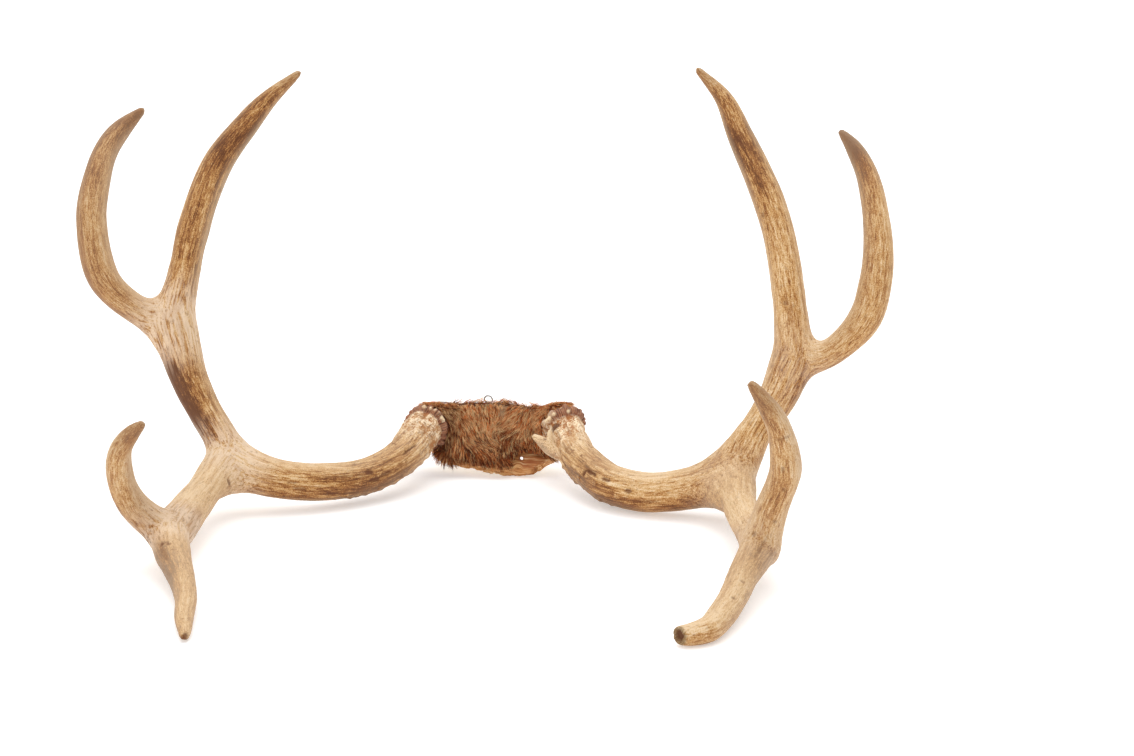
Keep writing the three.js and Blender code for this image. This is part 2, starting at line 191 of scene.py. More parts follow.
# ---- limbs ---------------------------------------------------------------------------


def smooth_line(points, pitch=1.0):
    """Centripetal Catmull-Rom line through [x, y, z, radius], sampled every `pitch` mm."""
    p = np.array(points, float)
    p = np.vstack([2 * p[0] - p[1], p, 2 * p[-1] - p[-2]])
    samples = []
    for a, b, c, d in zip(p[:-3], p[1:-2], p[2:-1], p[3:]):
        da, db, dc = (np.linalg.norm((q - r)[:3]) ** 0.5 for q, r in ((b, a), (c, b), (d, c)))
        start = ((b - a) / da - (c - a) / (da + db) + (c - b) / db) * db
        end = ((c - b) / db - (d - b) / (db + dc) + (d - c) / dc) * db
        t = np.linspace(0, 1, 60, endpoint=False)[:, None]
        square, cube = 3 * (c - b) - 2 * start - end, 2 * (b - c) + start + end
        samples.append(b + start * t + square * t ** 2 + cube * t ** 3)
    fine = np.vstack(samples + [p[-2][None]])
    run = np.concatenate([[0], np.cumsum(np.linalg.norm(np.diff(fine[:, :3], axis=0), axis=1))])
    count = max(4, int(run[-1] / pitch))
    even = np.linspace(0, run[-1], count)
    return even, np.stack([np.interp(even, run, fine[:, k]) for k in range(4)], axis=1)


class Limb:
    """Centre line with a frame that doesn't twist, in the skull's millimetres."""

    def __init__(self, points, first_side=None, first_run=0.0):
        run, line = smooth_line(points)
        self.run = run + first_run
        self.centre = line[:, :3]
        self.radius = np.maximum(line[:, 3], 0.8)
        along = np.gradient(self.centre, axis=0)
        self.along = along / np.linalg.norm(along, axis=1, keepdims=True)
        side = np.array([0.0, 0.0, 1.0]) if first_side is None else first_side
        sides = []
        for t in self.along:
            side = side - t * (side @ t)
            side = side / np.linalg.norm(side)
            sides.append(side)
        self.side = np.array(sides)
        self.over = np.cross(self.along, self.side)

    def at(self, run):
        return int(np.argmin(np.abs(self.run - run)))

    def ring(self, index, angle):
        """Directions away from the line at one of its samples."""
        return np.outer(np.cos(angle), self.side[index]) + np.outer(np.sin(angle), self.over[index])

    def from_sample(self, first):
        """The rest of this limb from one of its samples on."""
        rest = copy.copy(self)
        for name, values in vars(self).items():
            setattr(rest, name, values[first:])
        return rest

    def nearest(self, points):
        """The nearest sample to each point, and how far off it is."""
        own = (self.centre ** 2).sum(1)[None]
        gap = (points ** 2).sum(1)[:, None] - 2 * points @ self.centre.T + own
        index = np.argmin(gap, axis=1)
        return index, np.sqrt(np.maximum(gap[np.arange(len(points)), index], 0))


def branch(parent, parent_points, points):
    """A limb that starts a little way back down the limb that carries it."""
    fork = np.array(parent_points[-1][:3], float)
    back = np.array(parent_points[-2][:3], float) - fork
    root = fork + back / np.linalg.norm(back) * ROOT_LENGTH
    start = parent.run[-1] - ROOT_LENGTH
    side = parent.side[parent.at(start)]
    return Limb([[*root, points[0][3] * ROOT_SHARE], *points], side, start)


def make_limbs(points):
    limbs = {"beam": Limb(points["beam"])}
    for name, carrier in GROWS_FROM.items():
        limbs[name] = branch(limbs[carrier], points[carrier], points[name])
    for name in ("brow_point", "brow_spur"):
        if name in points:
            limbs[name] = Limb(points[name], first_run=BROW_RUN)
    return limbs


# ---- mesh helpers --------------------------------------------------------------------


def add_object(name, data):
    piece = bpy.data.objects.new(name, data)
    bpy.context.scene.collection.objects.link(piece)
    return piece


def new_object(name, verts, faces):
    mesh = bpy.data.meshes.new(name)
    mesh.from_pydata([tuple(v) for v in verts], [], faces)
    mesh.update()
    return add_object(name, mesh)


def coords(mesh):
    co = np.empty(len(mesh.vertices) * 3, np.float32)
    mesh.vertices.foreach_get("co", co)
    return co.reshape(-1, 3).astype(float)


def normals(mesh):
    out = np.empty(len(mesh.vertices) * 3, np.float32)
    mesh.vertex_normals.foreach_get("vector", out)
    return out.reshape(-1, 3).astype(float)


def set_coords(mesh, co):
    mesh.vertices.foreach_set("co", co.astype(np.float32).ravel())
    mesh.update()


def add_values(mesh, **layers):
    """Stores a number or a vector for each of the mesh's points, under each name."""
    for name, values in layers.items():
        kind, field = ("FLOAT", "value") if values.ndim == 1 else ("FLOAT_VECTOR", "vector")
        layer = mesh.attributes.new(name, kind, "POINT")
        layer.data.foreach_set(field, values.astype(np.float32).ravel())


def bake_modifiers(piece):
    """Replaces the piece's mesh by what its modifiers make of it."""
    dg = bpy.context.evaluated_depsgraph_get()
    mesh = bpy.data.meshes.new_from_object(piece.evaluated_get(dg))
    piece.modifiers.clear()
    piece.data = mesh
    return mesh


def voxel_remesh(piece, size):
    """size in the mesh's own units."""
    step = piece.modifiers.new("remesh", "REMESH")
    step.mode = "VOXEL"
    step.voxel_size = size
    step.use_smooth_shade = True
    return bake_modifiers(piece)


def edge_ends(mesh):
    """The two points of every edge."""
    edges = np.empty(len(mesh.edges) * 2, np.int32)
    mesh.edges.foreach_get("vertices", edges)
    return edges.reshape(-1, 2).T


def around(values, ends):
    """Mean of what lies at the other ends of each point's edges; values in columns."""
    (a, b), n = ends, len(values)
    degree = np.bincount(a, minlength=n) + np.bincount(b, minlength=n)
    total = [np.bincount(a, v[b], n) + np.bincount(b, v[a], n) for v in values.T]
    return np.stack(total, axis=1) / degree[:, None]


def smoothed(mesh, co, weight, rounds):
    """Moves each point towards the middle of its neighbours, by its weight."""
    ends = edge_ends(mesh)
    for _ in range(rounds):
        co = co + np.reshape(weight, (-1, 1)) * (around(co, ends) - co)
    return co


def even_remesh(piece, size, rounds):
    """Remeshes the piece and smooths the voxels' steps; returns its mesh and its points."""
    mesh = voxel_remesh(piece, size)
    co = smoothed(mesh, coords(mesh), 0.5, rounds)
    set_coords(mesh, co)
    return mesh, co


def dress(piece, material):
    piece.data.shade_smooth()
    piece.data.materials.append(material)


# ---- antlers -------------------------------------------------------------------------

# What widens the forks: short swellings inside them, as [x, y, z, radius].
WEBS = {
    "left": [
        [[-158, -113.5, 28, 12.4], [-184, -111, 44, 11.8], [-202, -104.5, 66, 11.4]],
        [[-163, -114, 28, 13], [-182, -124, 28, 12.4], [-195, -152, 27.5, 11]],
        [[-222, -98, 105, 12.6], [-240, -95, 133, 12.5], [-264, -98, 155, 9.5]],
    ],
    "right": [
        [[158, -107.5, 24, 13], [183, -109.5, 43, 12.6], [199, -107.5, 63, 11.8]],
        [[160, -110, 20, 12.5], [176, -128, 24, 12], [186, -155, 25.5, 10.5]],
        [[203, -263, 29, 11], [212.5, -264, 25.5, 7.6], [209, -268, 19, 7]],
    ],
}

TUBE_SIDES = 28
# A ring of the tube for every so many samples of the line, which are 1 mm apart.
TUBE_PITCH = 3
# Voxels of the coarse body and of the finished surfaces.
BODY_VOXEL = 2.4
VOXEL = 1.13
PLATE_VOXEL = 0.8
HIDE_VOXEL = 1.1
# What the remeshing takes off all round.
FULLNESS = 0.35
# Rounds of filling the creases at the forks.
CREASE_ROUNDS = 150

# How dark each limb is, at four places from its start to its end, and how grey.
TONES = {
    "left": {
        "beam": ([0.3, 1.1, 0.35, -0.7], 0.0),
        "back_stem": ([0.0, 1.9, 1.1, -1.9], 0.1),
        "back_inner_tine": ([0.8, 1.3, 2.2, 0.0], 0.0),
        "back_outer_tine": ([0.0, 0.4, 1.4, 1.8], 0.45),
        "front_stem": ([-0.2, -0.4, -0.9, 2.4], 0.15),
        "front_upper_tine": ([0.2, -0.4, -1.2, 0.8], 0.4),
        "front_lower_tine": ([0.3, 1.8, 0.5, 0.3], 0.15),
    },
    "right": {
        "beam": ([-1.4, 1.3, -1.0, 0.9], 0.0),
        "back_stem": ([0.4, -0.5, 0.0, 1.1], 0.0),
        "back_inner_tine": ([-0.3, 0.4, 2.2, 0.1], 0.0),
        "back_outer_tine": ([-0.8, 0.1, 0.4, 4.0], 0.15),
        "front_stem": ([0.7, 0.5, -0.6, 1.0], 0.0),
        "front_upper_tine": ([-0.7, -0.1, -0.6, 0.7], 0.35),
        "front_lower_tine": ([1.1, 0.7, -0.1, -0.9], 0.15),
        "brow_point": ([0.3, 0.9, 0.5, -1.4], 0.0),
        "brow_spur": ([-2.2, -2.2, -2.2, -1.8], 0.0),
    },
}
# How coarse the grain of each limb is.
COARSENESS = {
    "beam": 1.0, "back_stem": 0.8, "back_inner_tine": 0.5, "back_outer_tine": 0.3,
    "front_stem": 0.5, "front_upper_tine": 0.45, "front_lower_tine": 0.4,
    "brow_point": 0.3, "brow_spur": 0.3,
}
# Sides painted darker or lighter as painted shade and light, and some greyer: [limb, way that the
# side faces, how dark, how grey].
PAINTED_SIDE_LIGHT_AND_GREY = {
    "left": [
        ["back_stem", [-0.9, -0.3, 0.1], 1.6, 0.0], ["back_stem", [0.9, -0.2, 0.1], -1.0, 0.0],
        ["back_outer_tine", [-1, 0, 0], 0.3, 0.7], ["front_upper_tine", [0.8, 0, 0.5], -0.8, 0.5],
        ["front_lower_tine", [-1, 0, 0], 0.9, 0.0],
    ],
    "right": [
        ["beam", [0, -0.4, -0.9], 0.6, 0.0], ["back_outer_tine", [-1, 0, 0.3], 0.3, 0.3],
        ["front_upper_tine", [1, 0, 0.2], -1.0, 0.3],
    ],
}
# How much the forks pale to cream.
PALE_FORKS = {"left": 0.75, "right": 0.25}
DARK_TIPS = ("back_inner_tine", "back_outer_tine", "front_upper_tine")

# The burr's solid ring, and its rows of knobs as [how far forward, how far out, how many].
BURR_RING = {"reach": 13.0, "radius": 3.5, "count": 32}
KNOB_ROWS = ((-1.6, 16.9, 21), (2.0, 15.9, 19))
# How far forward of the ring the pale knobs sit, and how far out they may be.
PALE_FORWARD = 2.2
PALE_REACH = 18.6
PEARLS = 80


def tube(limb, blunt=False):
    """Closed tube round a limb: rounded at its tip, or cut at a slant if blunt."""
    index = list(range(0, len(limb.run), TUBE_PITCH))
    if index[-1] != len(limb.run) - 1:
        index.append(len(limb.run) - 1)
    angle = circle(TUBE_SIDES)
    rings = [limb.centre[i] + limb.ring(i, angle) * limb.radius[i] for i in index]
    end, along, radius = limb.centre[-1], limb.along[-1], limb.radius[-1]
    if blunt:
        reach = 0.45 * radius + BREAK_SLANT * (rings[-1] - end)[:, 1:2]
        rings.append(rings[-1] + along * reach)
        end = end + along * radius * 0.45
    else:
        ring = limb.ring(-1, angle)
        for turn in (0.5, 0.95, 1.3):
            rings.append(end + ring * radius * math.cos(turn) + along * radius * math.sin(turn))
        end = end + along * radius
    return close_rings(rings, limb.centre[0], end)


def close_rings(rings, first, last):
    """Points and faces of a skin over the rings, closed at its first and last point."""
    sides = len(rings[0])
    verts = np.vstack([first[None], *rings, last[None]])
    faces = []
    for k in range(sides):
        after = (k + 1) % sides
        faces.append((0, 1 + after, 1 + k))
        for j in range(len(rings) - 1):
            low, high = 1 + j * sides, 1 + (j + 1) * sides
            faces.append((low + k, low + after, high + after, high + k))
        top = 1 + (len(rings) - 1) * sides
        faces.append((len(verts) - 1, top + k, top + after))
    return verts, faces


def ball(centre, size, rows=8):
    """Closed ball; size is one radius or three."""
    size = np.broadcast_to(np.asarray(size, float), 3)
    angle = circle(rows * 2)
    rings = []
    for turn in np.linspace(-math.pi / 2, math.pi / 2, rows)[1:-1]:
        ring = np.stack([np.cos(angle) * math.cos(turn), np.sin(angle) * math.cos(turn),
                         np.full_like(angle, math.sin(turn))], axis=1)
        rings.append(centre + ring * size)
    pole = np.array([0, 0, 1.0]) * size
    return close_rings(rings, centre - pole, centre + pole)


def burr_axes(side, beam, place):
    """The burr's axis and two directions square to it."""
    axis = unit(np.array(BURR_AXIS[side]))
    over = unit(np.cross(axis, beam.side[place]))
    return axis, np.cross(over, axis), over


def pale_knobs(side, centre, axis):
    """Middles of the burr's pale knobs, on its front face and no further out than its rim."""
    out = []
    for x, z in PALE_KNOBS[side]:
        off = np.array([x, 0.0, z]) - centre
        off[1] = (PALE_FORWARD - off[0] * axis[0] - off[2] * axis[2]) / axis[1]
        spoke = off - axis * (off @ axis)
        reach = min(1, PALE_REACH / np.linalg.norm(spoke))
        out.append(centre + axis * PALE_FORWARD + spoke * reach)
    return out


def burr_balls(centre, axes, pale, rng):
    """The burr: a solid ring with two uneven rows of knobs on it, and the pale knobs."""
    axis, across, over = axes
    out = [ball(place, rng.uniform(1.2, 1.8, 3)) for place in pale]
    for k in range(BURR_RING["count"]):
        angle = k / BURR_RING["count"] * 2 * math.pi
        spoke = across * math.cos(angle) + over * math.sin(angle)
        out.append(ball(centre + spoke * BURR_RING["reach"], BURR_RING["radius"]))
    for row, (forward, reach, count) in enumerate(KNOB_ROWS):
        for k in range(count):
            angle = (k + 0.5 * row + rng.uniform(-0.35, 0.35)) / count * 2 * math.pi
            spoke = across * math.cos(angle) + over * math.sin(angle)
            knob = centre + spoke * (reach + rng.uniform(-1.0, 0.6))
            knob = knob + axis * (forward + rng.uniform(-0.8, 0.8))
            out.append(ball(knob, rng.uniform(1.5, 2.5, 3)))
    return out


def pearl_balls(beam, start, rng):
    """Pearls in wandering rows, thickest along the beam's underside near the burr."""
    out = []
    for _ in range(PEARLS):
        i = beam.at(start + 14 + 105 * rng.random() ** 1.2)
        turn = rng.normal(0, 0.6)
        down = np.array([0.0, -0.25, -1.0])
        down = down - beam.along[i] * (down @ beam.along[i])
        down /= np.linalg.norm(down)
        spoke = down * math.cos(turn) + np.cross(beam.along[i], down) * math.sin(turn)
        size = rng.uniform(1.1, 2.4)
        centre = beam.centre[i] + spoke * (beam.radius[i] - size * 0.35)
        out.append(ball(centre, size * np.array([1.0, 1.0, 0.8])))
    return out


def join_parts(name, parts):
    verts, faces, base = [], [], 0
    for part_verts, part_faces in parts:
        verts.append(part_verts)
        faces.extend([tuple(i + base for i in face) for face in part_faces])
        base += len(part_verts)
    return new_object(name, np.vstack(verts), faces)


# The grain is stored in three slots. Limbs that meet at a fork are in different ones.
GRAIN_SLOTS = {
    "a": ("beam", "back_inner_tine", "front_upper_tine"),
    "b": ("back_stem", "front_lower_tine", "brow_point"),
    "c": ("front_stem", "back_outer_tine", "brow_spur"),
}


class Wood:
    """Where each point of an antler lies in the limbs that meet there."""

    def __init__(self, limbs, co):
        reach, self.grains, radius = [], [], []
        for limb in limbs.values():
            index, gap = limb.nearest(co)
            off = co - limb.centre[index]
            reach.append(gap / limb.radius[index])
            self.grains.append(np.stack([
                (off * limb.side[index]).sum(1),
                (off * limb.over[index]).sum(1),
                limb.run[index] + (off * limb.along[index]).sum(1),
            ], axis=1))
            radius.append(limb.radius[index])
        reach = np.array(reach)
        self.weight = np.exp(-(reach - reach.min(0)) * 6)
        self.weight /= self.weight.sum(0)
        self.names = list(limbs)
        self.radius = (np.array(radius) * self.weight).sum(0)
        self.grain = (np.array(self.grains) * self.weight[:, :, None]).sum(0)

    def slot(self, names):
        """Grain and weight of whichever of these limbs is the nearest."""
        rows = [self.names.index(name) for name in names if name in self.names]
        best = self.weight[rows].argmax(0)
        return np.array(self.grains)[rows][best, np.arange(len(best))], self.weight[rows].max(0)

    def each(self, pattern):
        """A pattern drawn along every limb and faded from one into the next."""
        total = np.zeros(len(self.radius))
        for weight, grain in zip(self.weight, self.grains):
            near = weight > 0.01
            total[near] += weight[near] * pattern(grain[near])
        return total / np.sqrt((self.weight ** 2).sum(0))

    def streaks(self, wide, long, seed, octaves=3, wander=1.6):
        def pattern(grain):
            sway = noise(grain * np.array([0.06, 0.06, 0.045]) + seed, seed + 31)
            bent = grain + sway[:, None] * np.array([wander, -wander, 0])
            return fractal(bent / np.array([wide, wide, long]) + 0.37 * seed, seed, octaves)
        return self.each(pattern)

    def share(self, values):
        """What each point has of its limbs' values."""
        return sum(w * values.get(name, 0.0) for name, w in zip(self.names, self.weight))


def fill_creases(mesh, co, zone, rounds):
    """Fills the creases where limbs meet, and leaves alone what bulges."""
    a, b = edge_ends(mesh)
    used = (zone[a] > 0) | (zone[b] > 0)
    ids, local = np.unique(np.concatenate([a[used], b[used]]), return_inverse=True)
    ends = local.reshape(2, -1)
    pull = 0.6 * zone[ids][:, None]
    for turn in range(rounds):
        if turn % 15 == 0:
            set_coords(mesh, co)
            out = normals(mesh)[ids]
            part = co[ids]
        step = around(part, ends) - part
        hollow = (step * out).sum(1, keepdims=True) > 0
        part = part + step * pull * np.where(hollow, 1.0, 0.12)
        co[ids] = part
    return co


# Pits and cracks of each limb: [x, y, z of the surface near it, half length, half width, depth].
SCARS = {
    "left": {
        "beam": [
            [-86, -94, 26, 3.5, 2.2, 0.9], [-75, -86, 23, 6, 1.3, 0.8], [-82, -93, 20, 5, 2, 0.9],
            [-104, -108, 26, 18, 0.8, 0.4], [-133, -124, 20, 5, 1.5, 0.5],
            [-139, -123, 25, 4, 1.0, 0.5], [-59, -62, 37, 9, 1.0, 0.7],
            [-112, -113, 14, 5, 1.6, 0.5],
        ],
        "front_stem": [[-182, -145, 30, 1.4, 3.2, 0.7]],
        "front_lower_tine": [
            [-193, -288, 27, 2.2, 1.8, 0.7], [-188, -290, 28, 3, 1.3, 0.6],
            [-189, -299, 24, 10, 1.6, 0.3], [-146, -407, 6, 1.8, 1.8, 0.8],
        ],
    },
    "right": {
        "beam": [
            [81, -86, 27, 7, 1.4, 1.1], [76, -80, 25, 2.2, 2.4, 1.1], [93, -99, 25, 4, 1.2, 0.8],
            [110, -112, 20, 3, 1.5, 0.8], [58, -51, 24, 2, 1.5, 0.8],
            [120, -116, 13, 12, 0.9, 0.5], [49, -18.5, 45, 3, 4.4, 1.1],
        ],
        "brow_point": [[43, -29, 39, 1.6, 1.2, 0.8]],
        "front_upper_tine": [
            [199, -278, 38, 1.5, 1.5, 0.5], [212, -282, 47, 1.5, 1.3, 0.5],
            [216, -305, 109, 1.0, 5, 0.4], [216, -299, 87, 2.2, 1.2, 0.5],
            [217, -294, 72, 1.7, 1.3, 0.5],
        ],
        "front_lower_tine": [
            [191, -330, 22, 1.6, 1.4, 0.5], [185, -355, 19, 1.4, 1.4, 0.5],
            [203, -289, 32, 11, 1.1, 0.4],
        ],
        "back_inner_tine": [
            [189, -33, 272, 5, 2.4, 0.6], [206, -63, 220, 2.2, 1.5, 0.5],
            [223, -102, 161, 2, 1.5, 0.5],
        ],
    },
}
# The depth from which a scar is at its darkest.
DARK_SCAR = 0.9
# A limb that ends in a slanting break.
BROKEN = {"right": "front_lower_tine"}
BREAK_SLANT = 0.42


def scars(side, co, limbs):
    """How scarred each point is, and how deep."""
    scar, dent = np.zeros(len(co)), np.zeros(len(co))
    rows = [(limbs[name], row) for name, table in SCARS[side].items() for row in table]
    for line, (x, y, z, half_long, half_wide, depth) in rows:
        place = np.array([x, y, z], float)
        index = line.nearest(place[None])[0][0]
        spoke = unit(place - line.centre[index])
        off = co - place
        long, deep = off @ line.along[index], off @ spoke
        wide = np.abs(off @ np.cross(line.along[index], spoke))
        wide = wide + 0.35 * half_wide * noise(co * 0.7, 61)
        away = np.sqrt((long / half_long) ** 2 + (wide / half_wide) ** 2)
        inside = ramp(away, 1.3, 0.75) * ramp(np.abs(deep), 6, 4)
        scar = np.maximum(scar, inside * min(1, depth / DARK_SCAR))
        dent = np.maximum(dent, depth * inside)
    return scar, dent


def broken_end(limb, co):
    """The face of the break and the worn hollow in it."""
    off, radius = co - limb.centre[-1], limb.radius[-1]
    beyond = off @ limb.along[-1]
    out = np.linalg.norm(off - np.outer(beyond, limb.along[-1]), axis=1)
    beyond = beyond - BREAK_SLANT * off[:, 1] + 0.5 * noise(co * 0.6, 62)
    out = out + 0.9 * noise(co * 0.5, 63)
    face = ramp(beyond, 0.1 * radius, 0.35 * radius) * ramp(out, 1.6 * radius, 1.2 * radius)
    return face, face * ramp(out, 0.75 * radius, 0.45 * radius)


def antler_body(side, limbs, burr, forks):
    """A coarse skin over the limbs, whose creases fill quickly: its points and faces."""
    # The beam's tube starts at the burr: what is behind it is the pedicle's.
    tubes = [tube(limbs["beam"].from_sample(burr - 2))]
    tubes += [tube(limbs[name], blunt=(BROKEN.get(side) == name)) for name in GROWS_FROM]
    tubes += [tube(Limb(web)) for web in WEBS[side]]
    body = join_parts(f"{side}_body", tubes)
    mesh = voxel_remesh(body, BODY_VOXEL)
    co = coords(mesh)
    to_fork = nearest_gap(co, forks)
    co = fill_creases(mesh, co, ramp(to_fork, 75, 45), CREASE_ROUNDS)
    co = smoothed(mesh, co, 0.5 * ramp(to_fork, 40, 20), 4)
    faces = [tuple(face.vertices) for face in mesh.polygons]
    bpy.data.objects.remove(body)
    return co, faces


def make_antler(side, points, seed):
    limbs = make_limbs(points)
    beam = limbs["beam"]
    rng = np.random.default_rng(seed)
    to_point = beam.centre - np.array(points["beam"][BURR_POINT][:3])
    burr = int(np.argmin(np.linalg.norm(to_point, axis=1)))
    burr_run, burr_centre = beam.run[burr], beam.centre[burr]
    forks = [points[name][0][:3] for name in GROWS_FROM]

    # The body with knobs, pearls and the brow point on it, in one finer skin.
    parts = [antler_body(side, limbs, burr, forks)]
    axis, across, over = burr_axes(side, beam, burr)
    pale = pale_knobs(side, burr_centre, axis)
    parts += burr_balls(burr_centre, (axis, across, over), pale, rng)
    parts += pearl_balls(beam, burr_run, rng)
    parts += [tube(limb) for name, limb in limbs.items() if name.startswith("brow")]
    piece = join_parts(f"{side}_antler", parts)
    mesh, co = even_remesh(piece, VOXEL, 3)

    wood = Wood(limbs, co)
    out = normals(mesh)
    from_burr = wood.grain[:, 2] - burr_run
    is_beam = wood.weight[0]
    thick = ramp(wood.radius, 3.5, 12)
    web = ramp(nearest_gap(co, forks), 46, 14)
    rough = (0.3 + 0.7 * ramp(from_burr, 170, 20) * is_beam) * (1 - 0.55 * web)

    # Grooves and ridges run along every limb, finer and fainter towards the tips.
    groove = wood.streaks(4.2, 55, seed + 1)
    scratch = wood.streaks(1.9, 26, seed + 5, octaves=2)
    ridge = np.abs(wood.streaks(6.0, 34, seed + 9, octaves=2))
    lump = wood.streaks(15, 42, seed + 13, octaves=2)
    bump = ramp(wood.streaks(3.0, 4.6, seed + 17, octaves=2), 0.1, 0.7)
    gnarl = wood.streaks(3.4, 9.0, seed + 21, octaves=3)
    under = ramp(out[:, 2], 0.5, -0.6)
    near_burr = ramp(from_burr, 75, 12) * is_beam
    knots = 1 - 2.4 * np.abs(wood.streaks(7.0, 15, seed + 29, octaves=2, wander=3))
    height = 0.7 * groove + 0.4 * scratch + 0.6 * gnarl * near_burr
    rise = thick * (0.18 + 0.95 * rough) * height + 0.5 * lump * thick
    rise += (0.35 - ridge) * 1.5 * ramp(from_burr, 120, 30) * is_beam * thick
    rise += 0.9 * knots * ramp(from_burr, 50, 20) * is_beam
    rise += 0.9 * bump * under * is_beam * ramp(from_burr, 130, 30)

    # The burr's own axes: how far forward, how far out, and which way out.
    off = co - burr_centre
    forward = off @ axis
    off_axis = np.linalg.norm(off - np.outer(forward, axis), axis=1)
    spoke = np.stack([off @ across, off @ over], axis=1) / np.maximum(off_axis, 1)[:, None]
    on_burr = ramp(np.linalg.norm(off, axis=1), 27, 22)
    on_burr = on_burr * ramp(forward, 8, 4) * ramp(off_axis, 13, 15)
    spoke = np.column_stack([spoke * 12, off_axis * 0.1])
    rib = fractal(spoke * 0.9, seed + 25, 2)
    rise = rise * (1 - 0.7 * on_burr) + on_burr * 0.7 * rib + FULLNESS
    scar, dent = scars(side, co, limbs)
    face, hollow = np.zeros(len(co)), np.zeros(len(co))
    if side in BROKEN:
        face, hollow = broken_end(limbs[BROKEN[side]], co)
    co = co + out * (rise - dent - 3.2 * hollow)[:, None]
    set_coords(mesh, (co + SKULL_PLACE) * MM)

    dark, length_left = np.zeros(len(co)), np.zeros(len(co))
    for weight, grain, (name, limb) in zip(wood.weight, wood.grains, limbs.items()):
        places = limb.run[0] + (limb.run[-1] - limb.run[0]) * np.array([0.2, 0.5, 0.75, 0.95])
        dark += weight * np.interp(grain[:, 2], places, TONES[side][name][0])
        length_left += weight * (limb.run[-1] - grain[:, 2])
    grey = wood.share({name: tone[1] for name, tone in TONES[side].items()})
    # Painted shade and light on the sides that face each way, and greyer sides.
    for name, way, darker, greyer in PAINTED_SIDE_LIGHT_AND_GREY[side]:
        facing = ramp(out @ unit(np.array(way)), 0.1, 0.75)
        facing = wood.share({name: 1.0}) * facing * (1 - 0.7 * web)
        dark, grey = dark + darker * facing, grey + greyer * facing
    for name, names in GRAIN_SLOTS.items():
        grain, weight = wood.slot(names)
        add_values(mesh, **{f"grain_{name}": grain, f"weight_{name}": weight})
    # The right burr's brown fades on its inner side.
    hidden = ramp(off[:, 0], -4, -12) if side == "right" else 0
    to_pale = nearest_gap(co, pale) + 0.5 * noise(co * 0.8, seed + 70)
    fade = 0.5 * ramp(from_burr, 70, 160) * is_beam
    add_values(
        mesh,
        sharp=1 / np.sqrt((wood.weight ** 2).sum(0)),
        height=height * 0.5 + 0.5,
        knots=knots,
        fleck=wood.streaks(1.3, 4.0, seed + 50, octaves=2, wander=0.8) * 0.5 + 0.5,
        patch=wood.streaks(13, 50, seed + 60, octaves=2) * 0.5 + 0.5,
        web=web,
        burr=on_burr * (1 - 0.6 * hidden),
        brow=wood.share({"brow_point": 1.0, "brow_spur": 1.0}),
        spoke=spoke,
        rim=ramp(to_pale, 2.2, 1.2),
        scar=np.maximum(scar, hollow),
        broken=face,
        crease=ramp(ridge, 0.10, 0.0),
        base=ramp(from_burr, 62, 10) * is_beam,
        gnarled=ramp(from_burr, 150, 40) * is_beam,
        dark=dark,
        grey=grey,
        tip=ramp(length_left, 40, 4) * wood.share(dict.fromkeys(DARK_TIPS, 1.0)),
        cream=web * PALE_FORKS[side],
        coarse=wood.share(COARSENESS) * (1 - fade),
        # Painted light from above: top makes upward-facing surfaces paler in the material.
        top=out[:, 2] * 0.5 + 0.5,
        # Painted rim light: where front is low the surface turns edge-on, and the material paints
        # it paler.
        front=ramp(np.abs(out[:, 1]), 0.15, 0.85),
    )
    dress(piece, antler_material())
    nodes = [f"{side}_{name}" for name in ("beam", *GROWS_FROM)]
    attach(piece, "root")
    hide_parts(*nodes)


# ---- materials -----------------------------------------------------------------------


def srgb(red, green, blue):
    """Linear colour from the 0-255 numbers of a picture."""
    def linear(c):
        c /= 255
        return c / 12.92 if c <= 0.04045 else ((c + 0.055) / 1.055) ** 2.4
    return (linear(red), linear(green), linear(blue), 1.0)


